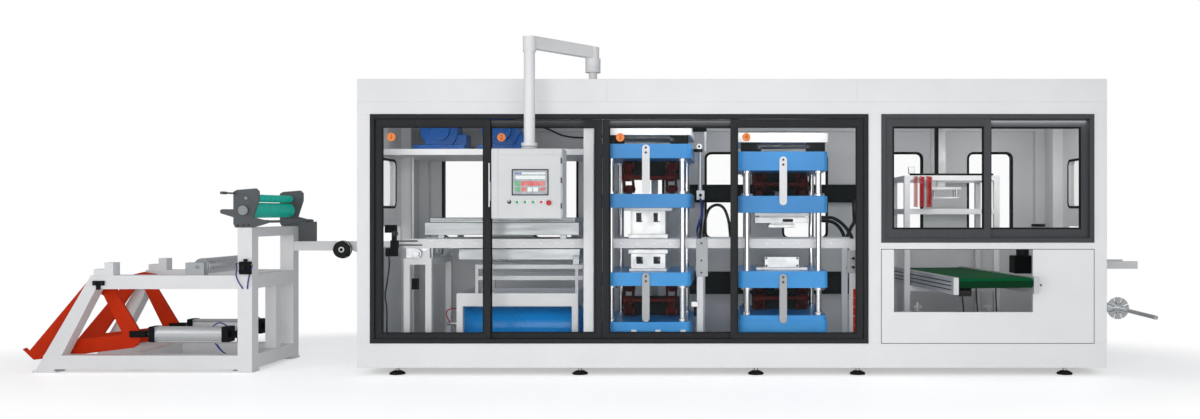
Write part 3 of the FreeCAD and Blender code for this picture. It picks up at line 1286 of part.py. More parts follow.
whole = Part.makeCompound(list(NODES.values())).BoundBox
OFFSET = Vector(-(whole.XMin + whole.XMax) / 2, -(whole.YMin + whole.YMax) / 2, 0)
for name, shape in NODES.items():
    shape.translated(OFFSET).exportStep("parts/%s.step" % name)
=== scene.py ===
# %% [markdown]
# # A plastic container thermoforming line
#
# This lesson dresses a food packaging line: a sheet unwinder, a glazed cabinet with heaters, two
# presses and a stacker, a take-off conveyor, a control box on a swing arm and a scrap winder. The
# engineering model comes in as a fixed frame of named parts. What is left to make is the surface
# of everything and the small pieces that a drawing of the structure leaves out.

# %% Load the frame
import json
import math

import bmesh
import bpy
from mathutils import Matrix, Vector

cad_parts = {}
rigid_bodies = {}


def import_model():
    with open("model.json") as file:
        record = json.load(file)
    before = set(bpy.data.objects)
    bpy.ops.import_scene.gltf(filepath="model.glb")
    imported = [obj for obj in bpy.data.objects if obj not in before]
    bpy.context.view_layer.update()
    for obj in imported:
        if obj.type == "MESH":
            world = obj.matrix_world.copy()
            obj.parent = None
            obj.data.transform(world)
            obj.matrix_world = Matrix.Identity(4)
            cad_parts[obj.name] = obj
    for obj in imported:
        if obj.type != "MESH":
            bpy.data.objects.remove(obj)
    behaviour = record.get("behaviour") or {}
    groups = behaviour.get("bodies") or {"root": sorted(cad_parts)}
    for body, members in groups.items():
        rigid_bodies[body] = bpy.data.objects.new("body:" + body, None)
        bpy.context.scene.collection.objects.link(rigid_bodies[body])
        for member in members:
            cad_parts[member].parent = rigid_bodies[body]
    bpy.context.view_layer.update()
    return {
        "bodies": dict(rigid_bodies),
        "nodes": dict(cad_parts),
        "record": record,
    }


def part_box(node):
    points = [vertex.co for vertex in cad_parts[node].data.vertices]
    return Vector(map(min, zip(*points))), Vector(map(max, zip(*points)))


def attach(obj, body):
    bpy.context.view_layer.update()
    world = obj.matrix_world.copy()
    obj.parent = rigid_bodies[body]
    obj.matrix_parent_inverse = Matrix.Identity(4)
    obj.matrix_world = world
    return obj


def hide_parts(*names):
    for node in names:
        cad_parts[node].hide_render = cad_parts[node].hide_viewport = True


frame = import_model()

# %% [markdown]
# ## Where things are
#
# Sizes are easier to read in millimetres, counted from one corner that can be found on the real
# machine: the foot of the cabinet's front, at the middle of its length. The frame tells where that
# is, so nothing here is fitted by eye.

# %% One ruler for the whole machine
MM = 0.001
header_low, header_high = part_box("front_header")
ORIGIN = Vector(((header_low.x + header_high.x) / 2, header_low.y, 0))
SHEET_Y = 680            # the sheet's centre line, behind the cabinet's front


def at(x, y, z):
    """A point in the frame, from millimetres along, behind and above the cabinet's foot."""
    return ORIGIN + Vector((x, y, z)) * MM


def span(node):
    """A node's low and high corner in millimetres from the cabinet's foot."""
    low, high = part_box(node)
    return (low - ORIGIN) / MM, (high - ORIGIN) / MM


def body_of(node):
    """The name of the body that a node rides on."""
    carrier = frame["nodes"][node].parent
    return next(name for name, empty in frame["bodies"].items() if empty == carrier)


print("cabinet foot at", [round(v, 4) for v in ORIGIN])

# %% [markdown]
# ## Colours and nodes
#
# A paint chart gives colours as sRGB hex values, while the renderer works in linear light, so one
# function turns one into the other. A second small function adds a shader or geometry node, with
# its settings, values and links in one call.

# %% Two helpers for every material
def linear(hex_colour):
    """An sRGB hex colour as linear RGBA."""
    channels = [int(hex_colour[i:i + 2], 16) / 255 for i in (1, 3, 5)]
    return [c / 12.92 if c <= 0.04045 else ((c + 0.055) / 1.055) ** 2.4 for c in channels] + [1.0]


def add_node(tree, kind, inputs=None, **settings):
    """Adds one node. An input's value is either a constant or the socket that feeds it."""
    made = tree.nodes.new(kind)
    for key, value in settings.items():
        setattr(made, key, value)
    for key, value in (inputs or {}).items():
        if isinstance(value, bpy.types.NodeSocket):
            tree.links.new(value, made.inputs[key])
        else:
            made.inputs[key].default_value = value
    return made


def new_finish(name):
    """An empty material: its node tree and its surface shader."""
    made = bpy.data.materials.new(name)
    made.use_nodes = True
    tree = made.node_tree
    tree.nodes.clear()
    shader = add_node(tree, "ShaderNodeBsdfPrincipled")
    add_node(tree, "ShaderNodeOutputMaterial", {"Surface": shader.outputs["BSDF"]})
    return tree, shader


def grain(tree, size, stretch=(1, 1, 1), detail=3.0):
    """Noise whose spots are about size millimetres across, drawn out along an axis by stretch."""
    place = add_node(tree, "ShaderNodeTexCoord").outputs["Object"]
    scale = [1 / (size * MM * s) for s in stretch]
    turned = add_node(tree, "ShaderNodeMapping", {"Vector": place, "Scale": scale})
    noise = add_node(tree, "ShaderNodeTexNoise",
                     {"Vector": turned.outputs["Vector"], "Scale": 1.0, "Detail": detail})
    return noise.outputs["Fac"]


def ramp(tree, factor, low, high, start=0.3, end=0.7):
    """Turns a noise value into a range of plain numbers."""
    made = add_node(tree, "ShaderNodeMapRange", {"Value": factor, "From Min": start, "From Max": end,
                                                 "To Min": low, "To Max": high})
    return made.outputs["Result"]


def tinted(tree, factor, first, second):
    """A colour between two hex values."""
    made = add_node(tree, "ShaderNodeMix", data_type="RGBA")
    tree.links.new(factor, made.inputs[0])
    made.inputs[6].default_value = linear(first)
    made.inputs[7].default_value = linear(second)
    return made.outputs[2]


def bumped(tree, shader, height, depth, strength=0.4):
    """Gives the surface a relief of depth millimetres."""
    bump = add_node(tree, "ShaderNodeBump", {"Height": height, "Distance": depth * MM, "Strength": strength})
    tree.links.new(bump.outputs["Normal"], shader.inputs["Normal"])


print("helpers ready")

# %% [markdown]
# ## Painted steel
#
# The cabinet's panels are folded steel sheet, powder coated: the powder melts into a skin with a
# faint orange peel, so a broad light on it breaks up softly. The peel's real spacing of about 2 mm
# is finer than a pixel here, so it is drawn four times as coarse. The press blocks are cast iron
# under sprayed enamel, which is smoother and glossier and carries a thin clear coat.

# %% Powder coat and enamel
def painted(name, first, second, roughness, peel=8.0, coat=0.0, shine=0.5):
    """Painted metal, from two close shades of one colour."""
    tree, shader = new_finish(name)
    shader.inputs["Specular IOR Level"].default_value = shine
    shade = ramp(tree, grain(tree, 420), 0, 1)
    tree.links.new(tinted(tree, shade, first, second), shader.inputs["Base Color"])
    skin = grain(tree, peel, detail=1.0)
    tree.links.new(ramp(tree, skin, roughness - 0.04, roughness + 0.05), shader.inputs["Roughness"])
    shader.inputs["Coat Weight"].default_value = coat
    shader.inputs["Coat Roughness"].default_value = 0.12
    bumped(tree, shader, skin, 0.25, 0.25)


painted("powder_coat_white", "#E6E6E7", "#E1E2E3", 0.42)
painted("powder_coat_grey", "#D2D3D4", "#C9CBCC", 0.45)
painted("powder_coat_signal_red", "#D23202", "#B82800", 0.5, shine=0.15)
painted("powder_coat_strap_grey", "#B4B6B8", "#A8AAAC", 0.42)
painted("powder_coat_plate_grey", "#5E6163", "#54575A", 0.42, shine=0.3)
painted("enamel_platen_blue", "#3D90D2", "#3486C8", 0.32, 14.0, 0.1, 0.25)
painted("enamel_base_blue", "#3EA0E4", "#3493DA", 0.32, 14.0, 0.1, 0.25)
painted("enamel_tank_blue", "#0A92E4", "#0884D4", 0.26, 14.0, 0.2, 0.3)
painted("enamel_blower_blue", "#1260B4", "#0C4688", 0.32, 14.0, 0.1, 0.25)
painted("enamel_oxide_red", "#641410", "#380C09", 0.5, 10.0, shine=0.15)
painted("enamel_black", "#141517", "#0E0F10", 0.55, 10.0, shine=0.12)
print("painted finishes", len(bpy.data.materials))

# %% [markdown]
# ## Bare metal
#
# Ground columns, drawn aluminium and turned hubs are all metal, and differ in the marks that the
# tool left. The marks are noise drawn out along the direction of travel, so that the shine runs
# across them. The dark window frames are aluminium too, but anodised: the grey sits in a hard,
# half matt skin, and the extrusion lines still show along each bar.

# %% Metals and anodised aluminium
def drawn_metal(name, first, second, roughness, stretch, metallic=1.0, marks=1.6, shine=0.5):
    """Metal with tool marks along one axis. Marks of about 0.2 mm are drawn coarser, to show."""
    tree, shader = new_finish(name)
    shader.inputs["Specular IOR Level"].default_value = shine
    lines = grain(tree, marks, stretch, 2.0)
    tree.links.new(tinted(tree, lines, first, second), shader.inputs["Base Color"])
    tree.links.new(ramp(tree, lines, roughness - 0.06, roughness + 0.1), shader.inputs["Roughness"])
    shader.inputs["Metallic"].default_value = metallic
    bumped(tree, shader, lines, 0.06, 0.3)


ALONG_X = (60, 1, 1)
ALONG_Y = (1, 60, 1)
ALONG_Z = (1, 1, 60)
drawn_metal("ground_steel", "#D4D6D8", "#B4B7BA", 0.2, (30, 30, 1))
drawn_metal("turned_steel", "#D4D6D8", "#BFC2C5", 0.22, ALONG_Y)
drawn_metal("aluminium_profile", "#DADBDC", "#C8CACC", 0.4, ALONG_X, 0.6)
drawn_metal("aluminium_plate", "#E2E2E1", "#CFD0D0", 0.42, (12, 12, 12), 0.75, 6.0)
drawn_metal("anodised_anthracite", "#303133", "#28292B", 0.55, ALONG_Z, 0.1, 5.0, 0.15)
drawn_metal("anodised_grey", "#4A4B4E", "#404144", 0.5, ALONG_Z, 0.1, 5.0, 0.2)
drawn_metal("zinc_plate", "#C2C5C7", "#B0B4B6", 0.42, (12, 1, 1), 0.85, 30.0)
drawn_metal("dark_steel", "#57595C", "#3A3C3E", 0.38, (3, 3, 3), 0.8, 20.0)
print("metals ready")

# %% [markdown]
# ## Rubber, plastic, belt and glass
#
# The nip rollers are covered in green rubber with a dull sheen, the belt is woven polyester under
# a PVC skin, and hoses and knobs are moulded plastic. The glass is clear: almost all light goes
# through, and the rest shows as a reflection that grows towards a grazing angle.

# %% Plastics, rubber, belt and glass
def moulded(name, first, second, roughness, size=12.0, depth=0.1, shine=0.4):
    """Moulded plastic or rubber with a fine, even texture."""
    tree, shader = new_finish(name)
    shader.inputs["Specular IOR Level"].default_value = shine
    spots = grain(tree, size)
    tree.links.new(tinted(tree, ramp(tree, spots, 0, 1), first, second), shader.inputs["Base Color"])
    tree.links.new(ramp(tree, spots, roughness - 0.05, roughness + 0.05), shader.inputs["Roughness"])
    bumped(tree, shader, spots, depth, 0.3)


moulded("rubber_black", "#141415", "#1C1C1D", 0.75, shine=0.2)
moulded("rubber_roller_green", "#1DD9C2", "#19C8B2", 0.5, 30.0, shine=0.3)
# The darker belt green is painted shade for the belt faces that don't face up.
moulded("belt_underside_green", "#0A3A20", "#08301A", 0.6, 8.0, shine=0.05)
moulded("plastic_black", "#121314", "#1A1B1C", 0.45, shine=0.25)
moulded("plastic_orange", "#F08A3C", "#E87C2C", 0.4)
moulded("plastic_digit_brown", "#8A4A1C", "#7C3F14", 0.5)
moulded("plastic_white", "#F2F2F0", "#EAEAE8", 0.4)
moulded("plastic_button_green", "#1FA668", "#189459", 0.3)
moulded("plastic_button_red", "#C8202C", "#B01822", 0.3)
moulded("hose_red", "#CE2026", "#A9161C", 0.3, 6.0)
moulded("hose_blue", "#20348C", "#182A74", 0.3, 6.0)
moulded("hose_black", "#141516", "#1E1F21", 0.4, 6.0)
moulded("brass_fitting", "#B89A5A", "#A2854A", 0.35, 5.0)


def belt_finish():
    """PVC over a polyester weave of 1 mm, drawn at 6 mm so that it shows."""
    tree, shader = new_finish("belt_pvc_green")
    place = add_node(tree, "ShaderNodeTexCoord").outputs["Object"]
    threads = add_node(tree, "ShaderNodeMapping", {"Vector": place, "Scale": [1 / (6 * MM)] * 3})
    weave = add_node(tree, "ShaderNodeTexChecker", {"Vector": threads.outputs["Vector"], "Scale": 1.0,
                                                    "Color1": linear("#0B6036"), "Color2": linear("#08522C")})
    dust = ramp(tree, grain(tree, 160), 0.0, 0.25)
    mixed = add_node(tree, "ShaderNodeMix", data_type="RGBA")
    tree.links.new(dust, mixed.inputs[0])
    tree.links.new(weave.outputs["Color"], mixed.inputs[6])
    mixed.inputs[7].default_value = linear("#0A4A28")
    tree.links.new(mixed.outputs[2], shader.inputs["Base Color"])
    shader.inputs["Roughness"].default_value = 0.5
    shader.inputs["Specular IOR Level"].default_value = 0.02
    bumped(tree, shader, weave.outputs["Fac"], 0.15, 0.2)


def glass_finish():
    """Clear float glass. Its opacity follows the angle, so the panes shine only at their edges."""
    tree, shader = new_finish("float_glass")
    edge = add_node(tree, "ShaderNodeFresnel", {"IOR": 1.5})
    smear = ramp(tree, grain(tree, 300), 0.0, 0.004)
    total = add_node(tree, "ShaderNodeMath", operation="MULTIPLY_ADD")
    tree.links.new(edge.outputs["Fac"], total.inputs[0])
    total.inputs[1].default_value = 0.22
    tree.links.new(smear, total.inputs[2])
    tree.links.new(total.outputs[0], shader.inputs["Alpha"])
    shader.inputs["Base Color"].default_value = linear("#8FA3A0")
    shader.inputs["Roughness"].default_value = 0.03
    shader.inputs["IOR"].default_value = 1.5


belt_finish()
glass_finish()
print("materials", len(bpy.data.materials))

# %% [markdown]
# ## The operator's screen
#
# The screen is lit from behind, so its colours glow a little. It shows plain fields only: bars of
# colour for the zones that such a machine reports.

# %% Glowing screen colours
def lit(name, hex_colour, strength=0.08):
    """A lit field of a screen."""
    tree, shader = new_finish(name)
    shade = tinted(tree, ramp(tree, grain(tree, 30), 0, 0.15), hex_colour, "#FFFFFF")
    tree.links.new(shade, shader.inputs["Base Color"])
    tree.links.new(shade, shader.inputs["Emission Color"])
    shader.inputs["Emission Strength"].default_value = strength
    shader.inputs["Roughness"].default_value = 0.15


SCREEN_COLOURS = {"grey": "#8B9298", "pale": "#D5DCDA", "red": "#C5433F",
                  "green": "#2E9A58", "blue": "#46639C"}
for screen_name, screen_hex in SCREEN_COLOURS.items():
    lit("screen_" + screen_name, screen_hex)
print("screen fields ready")

# %% [markdown]
# ## Building shapes
#
# Each piece is a mesh that grows shape by shape. A small class keeps the mesh and the materials of
# its shapes together: blocks with softened edges, turned bars, plates cut to an outline, bands
# round a window, and hoses that follow a smooth curve. At the end it shades round parts smooth and
# keeps real edges sharp.

# %% A mesh that is built shape by shape
SHARP = math.radians(32)


def shade_by_angle(mesh):
    """Smooth faces, with the edges over the sharp angle kept."""
    for face in mesh.faces:
        face.smooth = True
    for edge in mesh.edges:
        edge.smooth = len(edge.link_faces) == 2 and edge.calc_face_angle(0) < SHARP


def publish(mesh, materials, name, body, replaces=()):
    """Makes the finished piece, parents it to the body that it rides on and hides the parts that it stands
    for.
    """
    data = bpy.data.meshes.new(name)
    mesh.to_mesh(data)
    mesh.free()
    for material in materials:
        data.materials.append(bpy.data.materials[material])
    made = bpy.data.objects.new(name, data)
    bpy.context.scene.collection.objects.link(made)
    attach(made, body)
    if replaces:
        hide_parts(*replaces)
    print("%-28s %6d faces on %s" % (name, len(data.polygons), body))
    return made


class Form:
    """A piece under construction. Sizes are in millimetres from the cabinet's foot."""

    def __init__(self):
        self.mesh = bmesh.new()
        self.materials = []

    def paint(self, faces, material):
        if material not in self.materials:
            self.materials.append(material)
        for face in faces:
            face.material_index = self.materials.index(material)

    def block(self, x, y, z, material, bevel=1.5, turn=None):
        """A block with softened edges. turn is a matrix about the cabinet's foot."""
        middle = at((x[0] + x[1]) / 2, (y[0] + y[1]) / 2, (z[0] + z[1]) / 2)
        size = Matrix.Diagonal((*(abs(v[1] - v[0]) * MM for v in (x, y, z)), 1))
        made = bmesh.ops.create_cube(self.mesh, size=1, matrix=Matrix.Translation(middle) @ size)["verts"]
        faces = list({f for v in made for f in v.link_faces})
        self.paint(faces, material)
        if bevel:
            edges = list({e for v in made for e in v.link_edges})
            least = min(abs(v[1] - v[0]) for v in (x, y, z))
            done = bmesh.ops.bevel(self.mesh, geom=edges, offset=min(bevel, least * 0.3) * MM, segments=1,
                                   affect="EDGES", profile=0.5, material=-1)
            made = list({v for f in done["faces"] for v in f.verts})
        if turn is not None:
            bmesh.ops.transform(self.mesh, matrix=turn, verts=made)

    def bar(self, start, end, radius, material, sides=20, tip=None, bevel=1.0):
        """A turned bar between two points. tip is the radius at its end, for a cone."""
        a, b = at(*start), at(*end)
        along = b - a
        turn = along.to_track_quat("Z", "Y").to_matrix().to_4x4()
        place = Matrix.Translation((a + b) / 2) @ turn
        made = bmesh.ops.create_cone(self.mesh, cap_ends=True, segments=sides, radius1=radius * MM,
                                     radius2=(radius if tip is None else tip) * MM, depth=along.length,
                                     matrix=place)["verts"]
        faces = list({f for v in made for f in v.link_faces})
        self.paint(faces, material)
        caps = [e for f in faces if len(f.verts) == sides for e in f.edges]
        if bevel and caps and sides > 4:
            bmesh.ops.bevel(self.mesh, geom=caps, offset=min(bevel, radius * 0.3) * MM, segments=1,
                            affect="EDGES", profile=0.5, material=-1)

    def lathe(self, centre, axis, profile, material, sides=40):
        """A turned shape: profile is (distance along the axis, radius) from its centre."""
        turn = Vector(axis).to_track_quat("Z", "Y").to_matrix()
        rings = []
        for along, radius in profile:
            ring = []
            for step in range(sides):
                angle = 2 * math.pi * step / sides
                offset = Vector((radius * math.cos(angle), radius * math.sin(angle), along))
                ring.append(self.mesh.verts.new(at(*centre) + turn @ offset * MM))
            rings.append(ring)
        faces = []
        for low, high in zip(rings, rings[1:]):
            for i in range(sides):
                j = (i + 1) % sides
                faces.append(self.mesh.faces.new((low[i], low[j], high[j], high[i])))
        faces.append(self.mesh.faces.new(list(reversed(rings[0]))))
        faces.append(self.mesh.faces.new(rings[-1]))
        self.paint(faces, material)

    def plate(self, outline, y, material, bevel=1.0):
        """An XZ outline made as thick as the stretch of Y."""
        loops = [[self.mesh.verts.new(at(px, py, pz)) for px, pz in outline] for py in y]
        faces = [self.mesh.faces.new(loops[0]), self.mesh.faces.new(list(reversed(loops[1])))]
        rims = [e for f in faces for e in f.edges]
        for i in range(len(outline)):
            j = (i + 1) % len(outline)
            faces.append(self.mesh.faces.new((loops[0][j], loops[0][i], loops[1][i], loops[1][j])))
        bmesh.ops.recalc_face_normals(self.mesh, faces=faces)
        self.paint(faces, material)
        if bevel:
            bmesh.ops.bevel(self.mesh, geom=rims, offset=bevel * MM, segments=1, affect="EDGES",
                            profile=0.5, material=-1)

    def band(self, outer, inner, places, material):
        """A flat frame between two outlines of as many points. places turns a point into 3-D, twice."""
        count = len(outer)
        rings = [[self.mesh.verts.new(place(*p)) for p in line]
                 for place in places for line in (outer, inner)]
        faces = []
        for a, b in ((rings[0], rings[1]), (rings[1], rings[3]), (rings[3], rings[2]), (rings[2], rings[0])):
            for i in range(count):
                j = (i + 1) % count
                faces.append(self.mesh.faces.new((a[i], a[j], b[j], b[i])))
        bmesh.ops.recalc_face_normals(self.mesh, faces=faces)
        self.paint(faces, material)

    def take(self, data, material, matrix=None):
        """Adds a ready mesh."""
        before = set(self.mesh.verts)
        self.mesh.from_mesh(data)
        verts = [v for v in self.mesh.verts if v not in before]
        self.paint(list({f for v in verts for f in v.link_faces}), material)
        if matrix is not None:
            bmesh.ops.transform(self.mesh, matrix=matrix, verts=verts)

    def hose(self, points, radius, material, sides=8):
        """A hose or cable along a smooth curve through its points' hull."""
        curve = bpy.data.curves.new("hose_path", "CURVE")
        curve.dimensions = "3D"
        spline = curve.splines.new("NURBS")
        spline.points.add(len(points) - 1)
        for knot, point in zip(spline.points, points):
            knot.co = (*at(*point), 1)
        spline.order_u = 3
        spline.use_endpoint_u = True
        curve.resolution_u = 6
        curve.bevel_depth = radius * MM
        curve.bevel_resolution = max(1, sides // 4 - 1)
        curve.use_fill_caps = True
        self.take(mesh_of(curve), material)

    def piece(self, name, body, slot, replaces=()):
        """Ends the work and hands the piece over."""
        shade_by_angle(self.mesh)
        return publish(self.mesh, self.materials, name, body, replaces)


def mesh_of(curve):
    """A curve or a text as a plain mesh. Its helper object is removed again."""
    helper = bpy.data.objects.new("helper", curve)
    bpy.context.scene.collection.objects.link(helper)
    bpy.context.view_layer.update()
    graph = bpy.context.evaluated_depsgraph_get()
    data = bpy.data.meshes.new_from_object(helper.evaluated_get(graph), depsgraph=graph)
    bpy.data.objects.remove(helper)
    return data


print("shape tools ready")

# %% [markdown]
# ## Dressing a part of the frame
#
# Most of the structure already has its true form. A part is dressed on a copy of its mesh: its
# loose triangles are merged, flat faces are made whole again, and every real edge gets a small
# bevel, because folded sheet, weldments and machined blocks never have a perfectly sharp edge.
# Where one part has several finishes, a rule looks at each face's place and picks one.

# %% Dress a node of the frame
MERGE = 1e-5
FLAT = math.radians(0.6)
slot_of = {part["node"]: part["material_slot"] for part in frame["record"]["subparts"]}


def dress(node, material, bevel=1.5, rule=None):
    """A finished copy of a node. rule takes a face's middle in millimetres and its direction."""
    mesh = bmesh.new()
    mesh.from_mesh(frame["nodes"][node].data)
    bmesh.ops.remove_doubles(mesh, verts=mesh.verts, dist=MERGE)
    bmesh.ops.dissolve_limit(mesh, angle_limit=FLAT, verts=mesh.verts, edges=mesh.edges)
    materials = [material]
    for face in mesh.faces:
        face.material_index = 0
        chosen = rule((face.calc_center_median() - ORIGIN) / MM, face.normal) if rule else None
        if chosen and chosen != material:
            if chosen not in materials:
                materials.append(chosen)
            face.material_index = materials.index(chosen)
    if bevel:
        edges = [e for e in mesh.edges if len(e.link_faces) == 2 and e.calc_face_angle(0) > SHARP]
        bmesh.ops.bevel(mesh, geom=edges, offset=bevel * MM, segments=1, affect="EDGES", profile=0.5,
                        clamp_overlap=True, material=-1)
    shade_by_angle(mesh)
    return publish(mesh, materials, node + "_dressed", body_of(node), (node,))


for shell in ("base_frame", "roof", "front_header", "front_posts", "end_walls", "back_wall", "access_panel",
              "inner_frame"):
    dress(shell, "powder_coat_white")
FOOT_PAD = 36            # the rubber pad's height; above it the foot's spindle is bare
WINDOW_START = 1300      # the grey window frame stands to the right of here, the door frame to the left
dress("levelling_feet", "rubber_black", 1.0, lambda c, n: "turned_steel" if c.z > FOOT_PAD else None)
dress("glazing_frames", "anodised_anthracite", 1.5,
      lambda c, n: "anodised_grey" if c.x > WINDOW_START else None)
dress("cable_tray", "enamel_black", 4.0)

# %% [markdown]
# ## Heaters, stands and rails
#
# The heater banks sit over and under the sheet in bright zinc plated housings. White square tube
# carries them, and the lower bank slides out on ground runners for cleaning. The air tank below is
# enamelled in a deeper blue than the presses, and so are the blower housings on the shelf.

# %% Dress the heating station
RUNNER_TOP = 1000        # the runners lie below this height, the chain rails above it
WHEEL = Vector((-2920, 1082))            # the infeed sprockets' axis, along and above
SHAFT_RADIUS = 18
SPROCKET_REACH = 52                      # from the axis to the tips of the teeth
RAIL_FRONT = span("chain_rails")[0].y
RAIL_THICKNESS = 40
SHIELD_PLACE = (-400, 860)               # the shield and the valve box lie right of and above here
MOTOR_PLACE = (885, 2120)                # the blowers' black motors lie behind and above here


def stand_rule(c, n):
    """Dark infeed sprockets on a bare shaft, a grey shield and valve box on the far posts."""
    reach = (c.xz - WHEEL).length
    if reach < SHAFT_RADIUS:
        return "turned_steel"
    in_rail = RAIL_FRONT < c.y < RAIL_FRONT + RAIL_THICKNESS
    if reach < SPROCKET_REACH and n.z < 0.99 and not in_rail:
        return "dark_steel"
    if c.x > SHIELD_PLACE[0] and c.y < RAIL_FRONT - 2 and c.z > SHIELD_PLACE[1]:
        return "powder_coat_strap_grey"
    return None


dress("heaters", "zinc_plate", 3.0)
dress("machine_stands", "powder_coat_white", 2.0, stand_rule)
dress("chain_rails", "powder_coat_white", 2.0, lambda c, n: "powder_coat_grey" if c.z < RUNNER_TOP else None)
dress("air_tank", "enamel_tank_blue", 2.0)
dress("heater_blowers", "enamel_blower_blue", 3.0,
      lambda c, n: "enamel_black" if c.y > MOTOR_PLACE[0] and c.z > MOTOR_PLACE[1] else None)

# %% [markdown]
# ## The two presses
#
# Each press is a stack of thick blocks on four ground columns. Blocks and platens are blue, the
# knuckles that drive them are a dark oxide red, and pins, collars and bushes stay bare. Which
# finish a face gets follows from its place: the knuckles' ears stand on the blocks' inner faces,
# near the sheet's centre line, and a strap stands off a block's front or back.

# %% Dress the presses
FORM_X, TRIM_X = -785.0, 467.0           # the stations' centre lines
PRESS_FRONT, PRESS_BACK = 140.0, 1220.0  # the blocks' front and back faces
STATIONS = {"form": FORM_X, "trim": TRIM_X}
EAR_REACH = 45                           # ears and knuckle eyes stay this close to the centre line
GEAR_REACH = 290                         # half the width that the gear boxes take up
COLUMN_REACH = 250                       # the columns' bushes stand further out than this
FACE_HALF_WIDTH = 420                    # half the width of a block's front face
CORNER_DEPTH = 20                        # the corners' radius starts within this depth


def block_heights(node, centre):
    """The heights of a block: those of its front face, between the upright corners."""
    mesh = frame["nodes"][node].data
    heights = [((v.co - ORIGIN) / MM) for v in mesh.vertices]
    front = [h.z for h in heights if -0.5 < h.y - PRESS_FRONT < CORNER_DEPTH
             and abs(h.x - centre) < FACE_HALF_WIDTH]
    return min(front), max(front)


def press_rule(node):
    """Oxide red for ears, black for gear boxes, bare for bushes, pale straps, and blue for blocks."""
    heights = {name: block_heights(node, x) for name, x in STATIONS.items() if near_node(node, x)}

    def rule(c, n):
        name = min(heights, key=lambda key: abs(STATIONS[key] - c.x))
        low, high = heights[name]
        if c.y < PRESS_FRONT - 1 or c.y > PRESS_BACK + 1:
            return "powder_coat_strap_grey"
        if low - 1 <= c.z <= high + 1:
            return None
        if abs(c.y - SHEET_Y) < EAR_REACH:
            return "enamel_oxide_red"
        if c.y > SHEET_Y and abs(c.x - STATIONS[name]) < GEAR_REACH:
            return "enamel_black"
        if abs(c.x - STATIONS[name]) > COLUMN_REACH:
            return "turned_steel"
        return None
    return rule


def near_node(node, x):
    """True if the node reaches the station at x."""
    low, high = span(node)
    return low.x < x < high.x


dress("press_bases", "enamel_base_blue", 3.0, press_rule("press_bases"))
dress("press_crossheads", "enamel_platen_blue", 3.0, press_rule("press_crossheads"))
dress("press_columns", "ground_steel", 1.5)
dress("press_tops", "powder_coat_white", 3.0)
for station in STATIONS:
    for place in ("upper", "lower"):
        for part in ("crank", "link"):
            dress("%s_%s_%s" % (station, place, part), "enamel_oxide_red", 2.0)
        platen = "%s_%s_platen" % (station, place)
        dress(platen, "enamel_platen_blue" if place == "upper" else "enamel_base_blue", 3.0,
              press_rule(platen))
        dress("%s_%s_%s" % (station, place, "mould" if station == "form" else "die"), "aluminium_plate", 2.0)

# %% [markdown]
# ## Stacker, conveyor, outfeed and unwinder
#
# The same rules dress the two ends of the line: painted tube, ground bars, drawn aluminium
# cylinder barrels with black end caps, and the nip rollers in their green rubber.

# %% Dress the two ends
# A place is a stretch along and a stretch above, in which a face isn't painted tube.
ROLLER_BLOCKS = ((-5020, -4830), (890, 1010))
CLEVISES = ((-4640, -4523), (270, 400))
ARM_PINS = ((-6500, -5700), (780, 850))
PIN_REACH = 390                          # the arms' pins end this far from the unwinder's middle
AXLE_START = (-3900, 1000)               # the hand wheel's axle lies right of and above here
AXLE_END = 1084                          # and in front of the beam's face
COVER = (205, 1155)                      # where a nip roller's rubber starts and ends
BARREL = (-5337, -4722)                  # where a cylinder's barrel starts and ends
FORK_END = -5440                         # a rod's fork lies left of here
GUIDE_BAR = (1825, 1850)                 # the heights of the stacker head's guide bar
GUIDE_BAR_BACK = 916


def inside(c, place):
    """True if a face's middle lies in a place."""
    (left, right), (low, high) = place
    return left < c.x < right and low < c.z < high


def tube_and_blocks(c, n):
    """The unwinder's bearing blocks and pins are bare, its cylinder clevises are black."""
    if c.x > AXLE_START[0] and c.z > AXLE_START[1]:
        return "turned_steel" if c.y < AXLE_END else None
    if inside(c, ROLLER_BLOCKS):
        return "zinc_plate"
    if inside(c, CLEVISES):
        return "enamel_black"
    if inside(c, ARM_PINS) and abs(c.y - SHEET_Y) < PIN_REACH:
        return "turned_steel"
    return None


def roller_rule(c, n):
    """The rubber cover ends where the shaft begins."""
    return "turned_steel" if not COVER[0] < c.y < COVER[1] else None


WHEEL_AXIS = Vector((-3883, 1095))       # the hand wheel's axis, along and above
WHEEL_HUB = 30
CONVEYOR_YAW = math.radians(8)           # the conveyor stands this far off square
ACROSS = Vector((math.cos(CONVEYOR_YAW), math.sin(CONVEYOR_YAW), 0))
SLOT_DEPTH = 6
across = [((v.co - ORIGIN) / MM).dot(ACROSS) for v in frame["nodes"]["conveyor_frame"].data.vertices]
SIDES = min(across), max(across)


def slot_rule(c, n):
    """The slots along the conveyor's sides get dark steel: painted shade in their recesses."""
    depth = min(c.dot(ACROSS) - SIDES[0], SIDES[1] - c.dot(ACROSS))
    return "dark_steel" if 0.5 < depth < SLOT_DEPTH + 1 else None


dress("control_arm", "powder_coat_white", 2.0)
dress("stacker_frame", "powder_coat_white", 2.0)
dress("stacker_lift", "aluminium_plate", 2.0,
      lambda c, n: "enamel_black" if GUIDE_BAR[0] < c.z < GUIDE_BAR[1] and c.y < GUIDE_BAR_BACK else None)
# The dark steel in the side slots is painted shade.
dress("conveyor_frame", "aluminium_profile", 1.0, slot_rule)
# Belt faces that don't face up get the darker green: painted shade on their shadow side.
dress("conveyor_belt", "belt_pvc_green", 0, lambda c, n: "belt_underside_green" if n.z < 0.5 else None)
dress("outfeed_arms", "powder_coat_grey", 2.0)
dress("scrap_mandrel", "turned_steel", 1.0)
dress("unwinder_frame", "powder_coat_white", 2.5, tube_and_blocks)
dress("lift_arms", "powder_coat_signal_red", 2.0)
dress("lift_barrels", "aluminium_profile", 2.0,
      lambda c, n: "enamel_black" if not BARREL[0] < c.x < BARREL[1] else None)
dress("lift_rods", "ground_steel", 1.5, lambda c, n: "enamel_black" if c.x < FORK_END else None)
dress("nip_frame", "powder_coat_plate_grey", 1.5)
